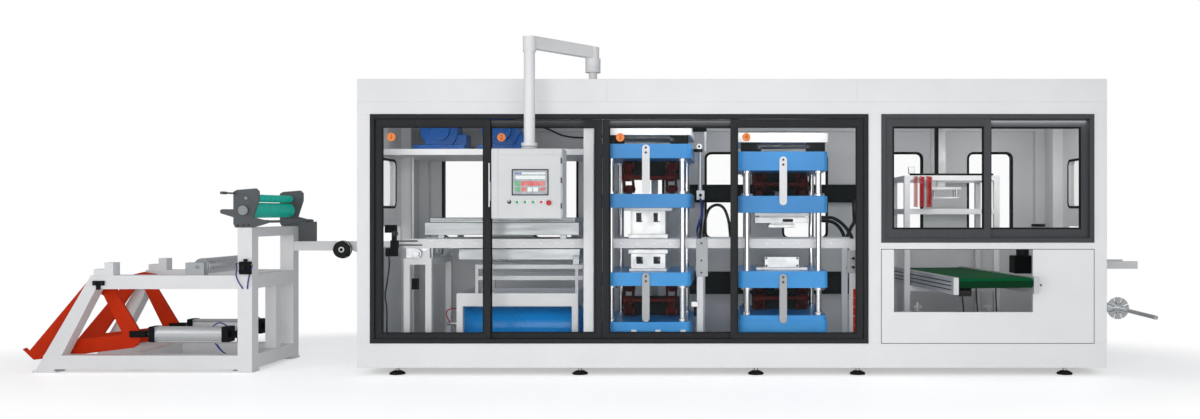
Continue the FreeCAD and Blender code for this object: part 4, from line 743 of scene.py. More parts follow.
dress("nip_lower_roller", "rubber_roller_green", 2.0, roller_rule)
dress("nip_upper_roller", "rubber_roller_green", 2.0, roller_rule)
dress("support_roller", "turned_steel", 1.5)
dress("hand_wheel", "enamel_black", 1.0,
      lambda c, n: "turned_steel" if (c.xz - WHEEL_AXIS).length < WHEEL_HUB else None)

# %% [markdown]
# ## Glazing
#
# A sliding door is a sash of dark extrusions round one sheet of glass. The extrusion is stepped:
# its rim stands proud, and the glass sits deeper in a black rubber gasket. The fixed windows have
# the same gasket on both faces of the wall.

# %% Doors and windows
STILE, TOP_RAIL, BOTTOM_RAIL = 62, 70, 50
STEP, STEP_DEPTH = 9, 4                  # the stepped inner lip of the extrusion
GASKET = 7
GLASS = 6


def rectangle(x, z):
    """The corners of an upright rectangle, in order."""
    return [(x[0], z[0]), (x[1], z[0]), (x[1], z[1]), (x[0], z[1])]


def rounded_rectangle(x, z, radius, steps=5):
    """The same with round corners."""
    corners = ((x[0], z[0], 180), (x[1], z[0], 270), (x[1], z[1], 0), (x[0], z[1], 90))
    points = []
    for cx, cz, start in corners:
        middle = (cx + (radius if cx == x[0] else -radius), cz + (radius if cz == z[0] else -radius))
        for step in range(steps + 1):
            angle = math.radians(start + 90 * step / steps)
            points.append((middle[0] + radius * math.cos(angle), middle[1] + radius * math.sin(angle)))
    return points


def shrunk(x, z, by):
    """A rectangle moved in by a distance on all sides."""
    return (x[0] + by, x[1] - by), (z[0] + by, z[1] - by)


def facing_front(y):
    """The two places of a band that lies across Y."""
    return [lambda px, pz, depth=depth: at(px, depth, pz) for depth in y]


def door(number):
    """One sliding door: sash, gasket and glass."""
    node = "sliding_door_%d" % number
    low, high = span(node)
    x, y, z = (low.x, high.x), (low.y, high.y), (low.z, high.z)
    inner_x, inner_z = (x[0] + STILE, x[1] - STILE), (z[0] + BOTTOM_RAIL, z[1] - TOP_RAIL)
    sash = Form()
    lip_x, lip_z = shrunk(inner_x, inner_z, -STEP)
    sash.band(rectangle(x, z), rectangle(lip_x, lip_z), facing_front(y), "anodised_anthracite")
    lip_y = (y[0] + STEP_DEPTH, y[1] - STEP_DEPTH)
    sash.band(rectangle(lip_x, lip_z), rectangle(inner_x, inner_z), facing_front(lip_y),
              "anodised_anthracite")
    rims = [e for e in sash.mesh.edges if len(e.link_faces) == 2 and e.calc_face_angle(0) > SHARP]
    bmesh.ops.bevel(sash.mesh, geom=rims, offset=1.2 * MM, segments=1, affect="EDGES", profile=0.5,
                    clamp_overlap=True, material=-1)
    body = body_of(node)
    sash.piece("door_%d_sash" % number, body, slot_of[node], (node,))
    middle = (y[0] + y[1]) / 2
    rubber = Form()
    for face in ((middle - GLASS / 2 - 3, middle - GLASS / 2), (middle + GLASS / 2, middle + GLASS / 2 + 3)):
        rubber.band(rectangle(inner_x, inner_z), rectangle(*shrunk(inner_x, inner_z, GASKET)),
                    facing_front(face), "rubber_black")
    rubber.piece("door_%d_gasket" % number, body, "black_rubber")
    glass = Form()
    glass.block(inner_x, (middle - GLASS / 2, middle + GLASS / 2), inner_z, "float_glass", 0)
    glass.piece("door_%d_glass" % number, body, "clear_glass")
    return middle - GLASS / 2


glass_front = {number: door(number) for number in range(1, 5)}

pull = Form()
door_low, door_high = span("sliding_door_1")
pull.block((door_high.x - 16, door_high.x - 4), (door_low.y - 0.5, door_low.y + 2), (1515, 1911),
           "aluminium_profile", 0.6)
pull.piece("door_1_pull_strip", body_of("sliding_door_1"), "bright_aluminium")

panes = frame["nodes"]["window_panes"]
panes.data.materials.clear()
panes.data.materials.append(bpy.data.materials["float_glass"])

# %% [markdown]
# Each fixed pane sits in a black rubber profile that grips the sheet on both faces. The back wall
# repeats one window seven times; the end walls have one each; the two sashes over the outlet have
# square corners.

# %% Window gaskets
WINDOW_LEFT = (-3088, -2122, -1206, -282, 546, 1563, 2522)
WINDOW_WIDTH = 469
WINDOW_Z = (1190, 2099)
WINDOW_CORNER = 60
LIP = 12                                 # how far the rubber reaches over the sheet and the glass
RUBBER = 4                               # how far the rubber stands off the sheet
WALL_BACK = (1800, 1860)
END_WINDOW = ((350, 924), (1516, 1972))
END_WALL_INSIDE = 3315
SASHES = (((1446, 2270), 19), ((2333, 3157), 57))    # where each sash's glass spans, and its front
SASH_Z = (1313, 2239)
SASH_GLASS = 6


def window_ring(form, x, z, faces, radius):
    """The rubber round one pane, on each of the wall's faces."""
    outer = rounded_rectangle(*shrunk(x, z, -LIP), radius + LIP)
    inner = rounded_rectangle(*shrunk(x, z, LIP), max(radius - LIP, 1))
    for places in faces:
        form.band(outer, inner, places, "rubber_black")


rings = Form()
wall_faces = [facing_front((y - RUBBER, y)) for y in WALL_BACK]
for left in WINDOW_LEFT:
    window_ring(rings, (left, left + WINDOW_WIDTH), WINDOW_Z, wall_faces, WINDOW_CORNER)
for side in (-1, 1):
    ends = [lambda py, pz, px=side * (END_WALL_INSIDE - d): at(px, py, pz) for d in (0, RUBBER)]
    window_ring(rings, *END_WINDOW, [ends], WINDOW_CORNER)
for x, y in SASHES:
    glass_faces = [facing_front((y - 3, y)), facing_front((y + SASH_GLASS, y + SASH_GLASS + 3))]
    window_ring(rings, *shrunk(x, SASH_Z, 4), glass_faces, 1)
rings.piece("window_gaskets", body_of("window_panes"), "black_rubber")

# %% [markdown]
# The presses, heaters and doors are numbered for the operator with orange discs on the glass. A
# digit starts as a text curve and is turned into a thin solid mesh.

# %% Number discs
DISC_RADIUS = 38
DISC_Z = 2145
DISC_X = {1: -3072.6, 2: -2088.0, 3: -1012.0, 4: 130.0}


def number_disc(number):
    """An orange disc with a dark digit, stuck on the outside of a door's glass."""
    face = glass_front[number]
    disc = Form()
    disc.bar((DISC_X[number], face - 1.5, DISC_Z), (DISC_X[number], face, DISC_Z), DISC_RADIUS,
             "plastic_orange", 48, bevel=0.3)
    text = bpy.data.curves.new("digit", "FONT")
    text.body = str(number)
    text.size = 62 * MM
    text.align_x = "CENTER"
    text.align_y = "CENTER"
    text.extrude = 0.3 * MM
    stand = Matrix.Translation(at(DISC_X[number], face - 1.9, DISC_Z)) @ Matrix.Rotation(math.pi / 2, 4, "X")
    disc.take(mesh_of(text), "plastic_digit_brown", stand)
    disc.piece("number_disc_%d" % number, body_of("sliding_door_%d" % number), "anthracite_aluminium")


for disc_number in DISC_X:
    number_disc(disc_number)

# %% [markdown]
# ## The control box
#
# The box is a folded sheet case with a door set into its front. The door closes against a seam on
# the left and the top. Below the screen sit a key switch, three green buttons, a red one and the
# mushroom head of the emergency stop.

# %% Control box
CASE_X = (-2076.5, -1463.5)
CASE_Y = (-405.0, -155.0)
CASE_Z = (1412.0, 2018.0)
ARM_END = (-1770.0, -280.0)
OUTWARDS = (0, -1, 0)                    # from the box towards the operator


def button(panel, x, z, material, radius=12.0, out=8.0, ring="turned_steel"):
    """A push button: a bright ring and a coloured cap."""
    bezel = ((0, radius + 5), (2.5, radius + 5), (3.5, radius + 2))
    cap = ((0, radius), (out - 5, radius), (out - 3.5, radius - 2))
    panel.lathe((x, CASE_Y[0], z), OUTWARDS, bezel, ring, 28)
    panel.lathe((x, CASE_Y[0] - 3.4, z), OUTWARDS, cap, material, 28)


def control_box():
    """The case with its door, bezel, screen, buttons, handle and hinges."""
    box = Form()
    front = CASE_Y[0]
    box.block(CASE_X, (front + 3, CASE_Y[1]), CASE_Z, "powder_coat_grey", 10)
    door_x, door_z = (CASE_X[0] + 62, CASE_X[1] - 14), (CASE_Z[0] + 6, CASE_Z[1] - 56)
    box.block(door_x, (front, front + 8), door_z, "powder_coat_grey", 2)
    box.block((CASE_X[0] + 2, door_x[0] - 3), (front, front + 8), (CASE_Z[0] + 2, CASE_Z[1] - 4),
              "powder_coat_grey", 2)
    for x in ((door_x[0], CASE_X[1] - 80), (CASE_X[1] - 77, CASE_X[1] - 3)):
        box.block(x, (front, front + 8), (door_z[1] + 3, CASE_Z[1] - 4), "powder_coat_grey", 2)
    for z in (CASE_Z[0] + 110, CASE_Z[0] + 330, CASE_Z[0] + 500):
        box.bar((CASE_X[1] - 8, front + 1, z - 24), (CASE_X[1] - 8, front + 1, z + 24), 6, "dark_steel", 12)
    bezel_x, bezel_z = (CASE_X[0] + 178, CASE_X[0] + 495), (1612, 1838)
    face_x, face_z = shrunk(bezel_x, bezel_z, 9)
    box.band(rectangle(bezel_x, bezel_z), rectangle(face_x, face_z), facing_front((front - 5, front)),
             "plastic_black")
    box.block(face_x, (front - 3.5, front), face_z, "screen_grey", 0)
    field_x, field_z = shrunk(face_x, face_z, 18)
    rows = (("screen_blue", 0.0, 0.22, 0.9, 1.0), ("screen_pale", 0.22, 1.0, 0.9, 1.0),
            ("screen_pale", 0.02, 1.0, 0.66, 0.84), ("screen_green", 0.0, 0.17, 0.33, 0.56),
            ("screen_red", 0.2, 1.0, 0.33, 0.56), ("screen_green", 0.0, 0.17, 0.04, 0.25),
            ("screen_red", 0.22, 0.38, 0.04, 0.25), ("screen_pale", 0.42, 0.56, 0.04, 0.25),
            ("screen_pale", 0.6, 0.76, 0.04, 0.25), ("screen_red", 0.82, 1.0, 0.1, 0.22))
    for material, left, right, low, high in rows:
        width, height = field_x[1] - field_x[0], field_z[1] - field_z[0]
        box.block((field_x[0] + width * left, field_x[0] + width * right), (front - 4, front - 3.4),
                  (field_z[0] + height * low, field_z[0] + height * high), material, 0)
    button_z = 1556
    button(box, CASE_X[0] + 156, button_z, "plastic_black", 12, 10, "plastic_black")
    box.block((CASE_X[0] + 153, CASE_X[0] + 159), (front - 10, front - 6), (button_z - 2, button_z + 16),
              "turned_steel", 0.5)
    for offset in (226, 295, 365):
        button(box, CASE_X[0] + offset, button_z, "plastic_button_green")
    button(box, CASE_X[0] + 434, button_z, "plastic_button_red")
    stop = (CASE_X[0] + 500, front, button_z - 8)
    box.lathe(stop, OUTWARDS, ((0, 20), (3, 20), (3, 12), (14, 12), (15, 22), (20, 22), (25, 15), (26, 6)),
              "plastic_button_red", 32)
    flange = (*ARM_END, CASE_Z[1])
    box.lathe(flange, (0, 0, 1), ((-3, 70), (18, 70), (22, 62), (26.7, 56)), "powder_coat_grey", 48)
    grip = CASE_X[0] - 42
    for z in (1560, 1740):
        box.bar((grip, ARM_END[1], z), (CASE_X[0] + 2, ARM_END[1], z), 9, "plastic_black", 16)
    box.bar((grip, ARM_END[1], 1551), (grip, ARM_END[1], 1749), 9, "plastic_white", 16)
    box.piece("control_box_case", body_of("control_box"), slot_of["control_box"], ("control_box",))


control_box()

# %% [markdown]
# ## Coiled hoses
#
# The stacker's head is fed through coiled polyurethane hoses. A coil is a helix, so it is made by a
# node tree: a spiral curve swept with a round section. An input has a name for people and an
# identifier for the modifier, which is set before the tree first runs. The result is kept as a
# plain mesh.

# %% A node tree for coils, and one for fasteners
def new_tree(name, inputs):
    """A geometry node tree with one geometry output and some named inputs."""
    tree = bpy.data.node_groups.new(name, "GeometryNodeTree")
    tree.interface.new_socket("Geometry", in_out="INPUT", socket_type="NodeSocketGeometry")
    for label, kind, value in inputs:
        made = tree.interface.new_socket(label, in_out="INPUT", socket_type=kind)
        if value is not None:
            made.default_value = value
    tree.interface.new_socket("Geometry", in_out="OUTPUT", socket_type="NodeSocketGeometry")
    return tree, add_node(tree, "NodeGroupInput").outputs


def finished(tree, geometry, given):
    """Realizes the instances, sets the material and ends the tree."""
    real = add_node(tree, "GeometryNodeRealizeInstances", {"Geometry": geometry})
    faced = add_node(tree, "GeometryNodeSetMaterial",
                     {"Geometry": real.outputs[0], "Material": given["Material"]})
    add_node(tree, "NodeGroupOutput", {"Geometry": faced.outputs[0]})


def baked(tree, values, name, body, points=(), facings=()):
    """Runs a tree on points and keeps the result as a plain mesh."""
    start = bpy.data.meshes.new(name + "_points")
    start.from_pydata([at(*p) for p in points], [], [])
    facing = start.attributes.new("facing", "FLOAT_VECTOR", "POINT")
    for item, direction in zip(facing.data, facings):
        item.vector = direction
    made = bpy.data.objects.new(name, start)
    bpy.context.scene.collection.objects.link(made)
    pattern = made.modifiers.new("pattern", "NODES")
    pattern.node_group = tree
    for socket in tree.interface.items_tree:
        if socket.in_out == "INPUT" and socket.name in values:
            pattern[socket.identifier] = values[socket.name]
    graph = bpy.context.evaluated_depsgraph_get()
    plain = bpy.data.meshes.new_from_object(made.evaluated_get(graph), depsgraph=graph)
    made.modifiers.clear()
    made.data = plain
    for face in plain.polygons:
        face.use_smooth = False
    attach(made, body)
    print("%-28s %6d faces on %s" % (name, len(plain.polygons), body))
    return made


def coil_tree():
    """A helix of round hose standing on the first point."""
    inputs = (("Turns", "NodeSocketFloat", 20.0), ("Radius", "NodeSocketFloat", 0.02),
              ("Height", "NodeSocketFloat", 0.3), ("Hose", "NodeSocketFloat", 0.004),
              ("Foot", "NodeSocketVector", None), ("Material", "NodeSocketMaterial", None))
    tree, given = new_tree("coil", inputs)
    helix = add_node(tree, "GeometryNodeCurveSpiral",
                     {"Resolution": 14, "Rotations": given["Turns"], "Start Radius": given["Radius"],
                      "End Radius": given["Radius"], "Height": given["Height"]})
    section = add_node(tree, "GeometryNodeCurvePrimitiveCircle", {"Resolution": 6, "Radius": given["Hose"]})
    swept = add_node(tree, "GeometryNodeCurveToMesh",
                     {"Curve": helix.outputs[0], "Profile Curve": section.outputs[0], "Fill Caps": True})
    placed = add_node(tree, "GeometryNodeTransform",
                      {"Geometry": swept.outputs[0], "Translation": given["Foot"]})
    finished(tree, placed.outputs[0], given)
    return tree


def bolt_tree():
    """A hexagon head on a washer at every point, standing along the point's facing."""
    inputs = (("Head", "NodeSocketFloat", 0.008), ("Material", "NodeSocketMaterial", None))
    tree, given = new_tree("bolts", inputs)
    washer_radius = add_node(tree, "ShaderNodeMath", {0: given["Head"], 1: 1.25}, operation="MULTIPLY")
    head_height = add_node(tree, "ShaderNodeMath", {0: given["Head"], 1: 0.62}, operation="MULTIPLY")
    washer = add_node(tree, "GeometryNodeMeshCylinder", {"Vertices": 14, "Radius": washer_radius.outputs[0],
                                                         "Depth": 0.002})
    head = add_node(tree, "GeometryNodeMeshCylinder", {"Vertices": 6, "Radius": given["Head"],
                                                       "Depth": head_height.outputs[0]})
    lift = add_node(tree, "ShaderNodeMath", {0: head_height.outputs[0], 1: 0.5, 2: 0.0008},
                    operation="MULTIPLY_ADD")
    offset = add_node(tree, "ShaderNodeCombineXYZ", {"Z": lift.outputs[0]})
    raised = add_node(tree, "GeometryNodeTransform", {"Geometry": head.outputs[0],
                                                      "Translation": offset.outputs[0]})
    bolt = add_node(tree, "GeometryNodeJoinGeometry")
    tree.links.new(washer.outputs[0], bolt.inputs[0])
    tree.links.new(raised.outputs[0], bolt.inputs[0])
    facing = add_node(tree, "GeometryNodeInputNamedAttribute", {"Name": "facing"}, data_type="FLOAT_VECTOR")
    turned = add_node(tree, "FunctionNodeAlignRotationToVector", {"Vector": facing.outputs[0]}, axis="Z")
    placed = add_node(tree, "GeometryNodeInstanceOnPoints",
                      {"Points": given["Geometry"], "Instance": bolt.outputs[0],
                       "Rotation": turned.outputs[0]})
    finished(tree, placed.outputs[0], given)
    return tree


def chain_tree():
    """A roller chain along +X from the first point: plates in pairs and a roller at each joint."""
    tree, given = new_tree("chain", (("Links", "NodeSocketInt", 20), ("Pitch", "NodeSocketFloat", 0.019),
                                     ("Material", "NodeSocketMaterial", None)))
    step = add_node(tree, "ShaderNodeCombineXYZ", {"X": given["Pitch"]})
    line = add_node(tree, "GeometryNodeMeshLine", {"Count": given["Links"], "Offset": step.outputs[0]})
    parts = add_node(tree, "GeometryNodeJoinGeometry")
    long = add_node(tree, "ShaderNodeMath", {0: given["Pitch"], 1: 1.45}, operation="MULTIPLY")
    tall = add_node(tree, "ShaderNodeMath", {0: given["Pitch"], 1: 0.62}, operation="MULTIPLY")
    size = add_node(tree, "ShaderNodeCombineXYZ", {"X": long.outputs[0], "Y": 0.002, "Z": tall.outputs[0]})
    half = add_node(tree, "ShaderNodeMath", {0: given["Pitch"], 1: 0.5}, operation="MULTIPLY")
    for side in (-1, 1):
        plate = add_node(tree, "GeometryNodeMeshCube", {"Size": size.outputs[0]})
        shift = add_node(tree, "ShaderNodeCombineXYZ", {"X": half.outputs[0], "Y": 0.006 * side})
        moved = add_node(tree, "GeometryNodeTransform",
                         {"Geometry": plate.outputs[0], "Translation": shift.outputs[0]})
        tree.links.new(moved.outputs[0], parts.inputs[0])
    thick = add_node(tree, "ShaderNodeMath", {0: given["Pitch"], 1: 0.38}, operation="MULTIPLY")
    roller = add_node(tree, "GeometryNodeMeshCylinder",
                      {"Vertices": 10, "Radius": thick.outputs[0], "Depth": 0.016})
    laid = add_node(tree, "GeometryNodeTransform",
                    {"Geometry": roller.outputs[0], "Rotation": (math.pi / 2, 0, 0)})
    tree.links.new(laid.outputs[0], parts.inputs[0])
    links = add_node(tree, "GeometryNodeInstanceOnPoints",
                     {"Points": line.outputs[0], "Instance": parts.outputs[0]})
    whole = add_node(tree, "GeometryNodeInstanceOnPoints", {"Points": given["Geometry"],
                                                           "Instance": links.outputs[0]})
    finished(tree, whole.outputs[0], given)
    return tree


def hole_tree():
    """Rows of round holes in a sheet that faces the operator, drawn as dark discs: painted shade for the
    holes' dark insides.
    """
    inputs = (("Columns", "NodeSocketInt", 60), ("Rows", "NodeSocketInt", 3),
              ("Pitch", "NodeSocketFloat", 0.02), ("Hole", "NodeSocketFloat", 0.006),
              ("Material", "NodeSocketMaterial", None))
    tree, given = new_tree("perforation", inputs)
    wide = add_node(tree, "ShaderNodeMath", {0: given["Columns"], 1: given["Pitch"]}, operation="MULTIPLY")
    tall = add_node(tree, "ShaderNodeMath", {0: given["Rows"], 1: given["Pitch"]}, operation="MULTIPLY")
    grid = add_node(tree, "GeometryNodeMeshGrid",
                    {"Size X": wide.outputs[0], "Size Y": tall.outputs[0],
                     "Vertices X": given["Columns"], "Vertices Y": given["Rows"]})
    disc = add_node(tree, "GeometryNodeMeshCylinder",
                    {"Vertices": 8, "Radius": given["Hole"], "Depth": 0.0012})
    holes = add_node(tree, "GeometryNodeInstanceOnPoints",
                     {"Points": grid.outputs[0], "Instance": disc.outputs[0]})
    upright = add_node(tree, "GeometryNodeTransform", {"Geometry": holes.outputs[0],
                                                       "Rotation": (math.pi / 2, 0, 0)})
    whole = add_node(tree, "GeometryNodeInstanceOnPoints", {"Points": given["Geometry"],
                                                           "Instance": upright.outputs[0]})
    finished(tree, whole.outputs[0], given)
    return tree


COIL = coil_tree()
BOLT = bolt_tree()
CHAIN = chain_tree()
HOLES = hole_tree()
print("trees ready")

# %% Hang the coils
def coils():
    """Three red coils, one inside the room of each plain hose of the frame."""
    low, high = span("coiled_hoses")
    hose = 3.6
    for index, (x, radius, pitch) in enumerate(((1800.0, 24.0, 17), (1860.0, 28.0, 13), (1930.0, 30.0, 12))):
        y = low.y + 60 - radius
        values = {"Turns": (high.z - low.z - 20) / pitch, "Radius": (radius - hose) * MM,
                  "Height": (high.z - low.z - 16) * MM, "Hose": hose * MM,
                  "Foot": at(x, y, low.z + 8), "Material": bpy.data.materials["hose_red"]}
        made = baked(COIL, values, "coil_%d" % (index + 1), body_of("coiled_hoses"),
                     [(0, 0, 0)], [(0, 0, 1)])
        if index == 0:
            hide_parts("coiled_hoses")


coils()

# %% [markdown]
# ## Fasteners and rows of holes
#
# Bolts come from one tree: a list of places and the way each head faces is all it needs. A rail is
# bolted down every 150 mm, a strap hangs on two screws, and the upper heater's reflector has a band
# of small vent holes along its front.

# %% Bolts, chains and perforation
FRONT = (0, -1, 0)
ROOT = body_of("base_frame")


def bolts(name, node, places, head, material="dark_steel"):
    """Hexagon heads that face the operator, on the body that carries a node."""
    baked(BOLT, {"Head": head * MM, "Material": bpy.data.materials[material]}, name, body_of(node),
          places, [FRONT] * len(places))


rail_front = [(x, RAIL_FRONT, 1176) for x in range(-2975, 1600, 150)]
bolts("rail_bolts", "chain_rails", rail_front + [(-2787, RAIL_FRONT, 1204)], 4.5, material="turned_steel")
STRAP_FRONT = 115
UPPER_STRAP_TOP = {"form": 2085, "trim": 1975}
LOWER_STRAP_TOP = {"form": 913, "trim": 904}
BOLT_DROP = (29, 74)                     # from a strap's upper end down to its two bolts
for name, x in STATIONS.items():
    upper = [(x, STRAP_FRONT, UPPER_STRAP_TOP[name] - drop) for drop in BOLT_DROP]
    lower = [(x, STRAP_FRONT, LOWER_STRAP_TOP[name] - drop) for drop in BOLT_DROP]
    bolts(name + "_upper_strap_bolts", "press_tops", upper, 9)
    bolts(name + "_lower_strap_bolts", name + "_lower_platen", lower, 9)
bolts("shield_bolts", "machine_stands", [(-284, 302, 1019), (-284, 302, 1180), (-284, 302, 905)], 8)
bolts("trim_tool_bolts", "trim_lower_die", [(x, 400, z) for x in (323, 611) for z in (966, 1035)], 8)
bolts("nip_bolts", "nip_frame", [(-4525, 165, 1346), (-4474, 165, 1346), (-4427, 165, 1350)], 9)
bolts("conveyor_end_bolts", "conveyor_frame", [(1945, -199, 832), (2691, -304, 832)], 8)
HOLE_PITCH = 13
# Black enamel discs stand in for the vent holes: painted shade where the holes show the dark inside.
baked(HOLES, {"Columns": 104, "Rows": 3, "Pitch": HOLE_PITCH * MM, "Hole": 4.2 * MM,
              "Material": bpy.data.materials["enamel_black"]}, "heater_vent_holes", body_of("heaters"),
      [(-2136, 339.5, 1393)])
for name, start, z in (("form", -986, 2150), ("trim", 266, 2073)):
    baked(CHAIN, {"Links": 14, "Pitch": 30 * MM, "Material": bpy.data.materials["dark_steel"]},
          name + "_spindle_chain", body_of("press_tops"), [(start, 162, z)])

# %% [markdown]
# ## Fittings between the blocks
#
# On top of each press a chain links the height spindles, and black bearing blocks hold its
# sprockets. Beside the presses run hoses, a cylinder with its rod, and the posts with the valves.

# %% Press fittings
def hoses(form, runs, radius, material):
    """Hoses through lists of points."""
    for run in runs:
        form.hose(run, radius, material)


fittings = Form()
for x, z in (((-1117, -986), (2094, 2171)), ((-567, -400), (2094, 2171)), ((80, 266), (2023, 2104)),
             ((676, 850), (2023, 2104))):
    fittings.block(x, (142, 184), z, "enamel_black", 3)
    wheel = (x[1] - 16 if x[0] in (-1117, 80) else x[0] + 16, 142, (z[0] + z[1]) / 2)
    fittings.bar(wheel, (wheel[0], 132, wheel[2]), 17, "dark_steel", 18)
for x in (-895, -676, -447):
    fittings.block((x - 24, x + 24), (127, 141), (370, 394), "plastic_white", 3)
fittings.piece("press_spindle_blocks", body_of("press_tops"), "black_enamel")

lines = Form()
form_arch = [(-298, 1700, 1180), (-298, 1320, 1203), (-261, 1300, 1484), (-173, 1300, 1550),
             (-85, 1300, 1528), (-34, 1300, 1395), (-19, 1320, 1247), (-19, 1700, 1200)]
form_drop = [(-284, 900, 1600), (-300, 900, 1400), (-312, 900, 1260), (-318, 1010, 1215)]
form_air = [(-310, 880, 1600), (-277, 700, 1469), (-316, 700, 1371), (-345, 760, 1273), (-330, 1010, 1200)]
trim_arch = [(884, 1000, 1415), (940, 1000, 1415), (1016, 1000, 1411), (1117, 1000, 1339),
             (1204, 1000, 1210), (1215, 1000, 1020), (1150, 1012, 905)]
trim_low_arch = [(884, 1060, 1380), (960, 1060, 1385), (1050, 1060, 1350), (1130, 1060, 1230),
                 (1150, 1040, 1060)]
trim_drop = [(1290, 1712, 1600), (1244, 1300, 1480), (1244, 1200, 1366), (1197, 1200, 1308),
             (1109, 1100, 1088), (1120, 1050, 950)]
heater_lead = [(-1985, 800, 2330), (-1803, 800, 2289), (-1650, 800, 2205), (-1450, 800, 2190),
               (-1290, 800, 2200), (-1190, 800, 2215)]
hoses(lines, [form_arch, form_drop], 15, "hose_black")
hoses(lines, [form_air], 12, "hose_blue")
hoses(lines, [trim_arch, trim_low_arch, trim_drop], 19, "hose_black")
hoses(lines, [heater_lead], 10, "hose_black")
lines.piece("press_hoses", ROOT, "black_rubber")

cylinder = Form()
cylinder.bar((-313, 900, 1679), (-313, 900, 2062), 20, "aluminium_profile")
cylinder.block((-348, -272), (870, 930), (1588, 1680), "plastic_white", 3)
cylinder.bar((-310, 871, 1634), (-310, 862, 1634), 15, "enamel_black", 20)
cylinder.block((-378, -290), (870, 930), (2058, 2088), "enamel_black", 3)
cylinder.bar((-265, 1000, 2077), (-265, 1000, 2641), 12, "plastic_white")
cylinder.block((-392, -252), (985, 1015), (2266, 2308), "enamel_black", 3)
cylinder.bar((-323, 905, 2112), (-323, 875, 2112), 30, "turned_steel", 24)
cylinder.bar((-323, 876, 2112), (-323, 870, 2112), 11, "enamel_black", 20)
cylinder.block((-378, -310), (285, 330), (590, 638), "aluminium_plate", 2)
cylinder.bar((-341, 308, 502), (-341, 308, 592), 14, "enamel_black")
cylinder.piece("form_side_cylinder", ROOT, "black_enamel")

duct = Form()
duct.block((-447, 1341), (1712, 1799), (600, 834), "enamel_black", 4)
duct.piece("lower_cable_duct", body_of("cable_tray"), "black_enamel")

valves = Form()
for z in range(340, 760, 84):
    valves.block((1124, 1171), (268, 312), (z, z + 78), "powder_coat_signal_red", 4)
for z in (1039, 958):
    valves.bar((1124, 277, z), (1124, 252, z), 14, "plastic_black", 20, tip=11)
    valves.bar((1098, 277, z), (1098, 266, z), 7, "brass_fitting", 12)
valves.piece("trim_valve_stack", ROOT, "red_enamel")

handle = Form()
handle.block((475, 571), (367, 381), (1376, 1404), "plastic_black", 4)
handle.piece("trim_tool_handle", body_of("trim_upper_die"), "black_enamel")

# %% [markdown]
# ## The infeed, the tank and the unwinder
#
# The sheet enters over a pair of sprockets. Small brackets, rods and pipes fill the corner by the
# left end wall. On the unwinder, a hand valve feeds the two lifting cylinders through blue hoses,
# and four tie rods hold each cylinder's caps together.

# %% Infeed and tank fittings
infeed = Form()
infeed.block((-3224, -3118), (296, 340), (1276, 1349), "enamel_black", 3)
infeed.block((-3160, -3122), (300, 340), (1200, 1278), "enamel_black", 2)
infeed.block((-3171, -3105), (292, 350), (1132, 1206), "enamel_black", 3)
infeed.block((-3216, -3111), (292, 350), (1057, 1134), "enamel_black", 3)
infeed.bar((-3125, 300, 1269), (-3125, 284, 1269), 28, "dark_steel", 24)
for z, end in ((1199, -2918), (1162, -2877)):
    infeed.bar((-3133, 302, z), (end, 302, z), 6, "dark_steel", 12)
infeed.bar((-2790, 330, 1134), (-2790, 330, 1030), 25, "turned_steel", 24, tip=11)
sensor_lead = [(-3200, 345, 1060), (-3236, 480, 1000), (-3248, 500, 921), (-3268, 500, 784),
               (-3289, 500, 674), (-3268, 500, 578), (-3268, 500, 359), (-3268, 500, 168)]
hoses(infeed, [sensor_lead], 7, "hose_black")
for x in (-3125, -3099):
    infeed.bar((x, 700, 167), (x, 700, 924), 10, "aluminium_profile", 16)
infeed.block((-3140, -3032), (686, 740), (721, 826), "enamel_black", 3)
infeed.bar((-3170, 1000, 167), (-3170, 1000, 2016), 12, "plastic_white", 16)
infeed.bar((-2747, 680, 396), (-2630, 680, 396), 17, "turned_steel", 20)
hoses(infeed, [[(-2720, 680, 410), (-2768, 680, 486), (-2726, 680, 545), (-2600, 680, 540)]], 6, "hose_red")
infeed.piece("infeed_fittings", ROOT, "black_enamel")

# %% Unwinder fittings
valve = Form()
valve.block((-4494, -4389), (116, 156), (900, 1017), "enamel_black", 4)
valve.bar((-4441, 136, 1017), (-4441, 136, 1040), 15, "plastic_black", 20, tip=19)
valve.bar((-4447, 117, 959), (-4447, 100, 959), 16, "plastic_black", 20)
for x, z in ((-4494, 1000), (-4494, 930), (-4389, 985)):
    side = -1 if x < -4441 else 1
    valve.bar((x, 136, z), (x + side * 14, 136, z), 7, "brass_fitting", 12)
valve_loop = [(-4506, 136, 1000), (-4529, 132, 1005), (-4514, 132, 959), (-4529, 132, 900),
              (-4505, 132, 830), (-4470, 150, 766)]
valve_drop = [(-4377, 136, 985), (-4395, 132, 924), (-4416, 132, 842), (-4430, 150, 766)]
barrel_feed = [(-4811, 331, 247), (-4771, 331, 188), (-4704, 331, 141), (-4638, 331, 121)]
barrel_return = [(-4795, 331, 238), (-4755, 331, 176), (-4690, 331, 131), (-4630, 331, 112)]
hoses(valve, [valve_loop, valve_drop, barrel_feed, barrel_return], 6, "hose_blue")
valve.block((-5842, -5733), (138, 150), (798, 840), "enamel_black", 2)
valve.block((-5809, -5770), (138, 150), (759, 799), "enamel_black", 2)
valve.piece("unwinder_valve", body_of("unwinder_frame"), "black_enamel")
bolts("rail_stop_bolts", "unwinder_frame", [(-5822, 138, 818), (-5757, 138, 818)], 6)

wheel = Form()
HUB = (WHEEL_AXIS.x, 1003, WHEEL_AXIS.y)
wheel.lathe(HUB, (0, 1, 0), ((0, 74), (0.5, 84), (6, 84), (6.5, 80)), "plastic_black", 48)
wheel.lathe((HUB[0], 997, HUB[2]), (0, 1, 0), ((0, 26), (1, 28), (6, 28)), "plastic_white", 32)
wheel.lathe((HUB[0], 995.5, HUB[2]), (0, 1, 0), ((0, 15), (0.4, 16), (3, 16)), "enamel_black", 24)
wheel.piece("hand_wheel_disc", body_of("hand_wheel"), "black_enamel")

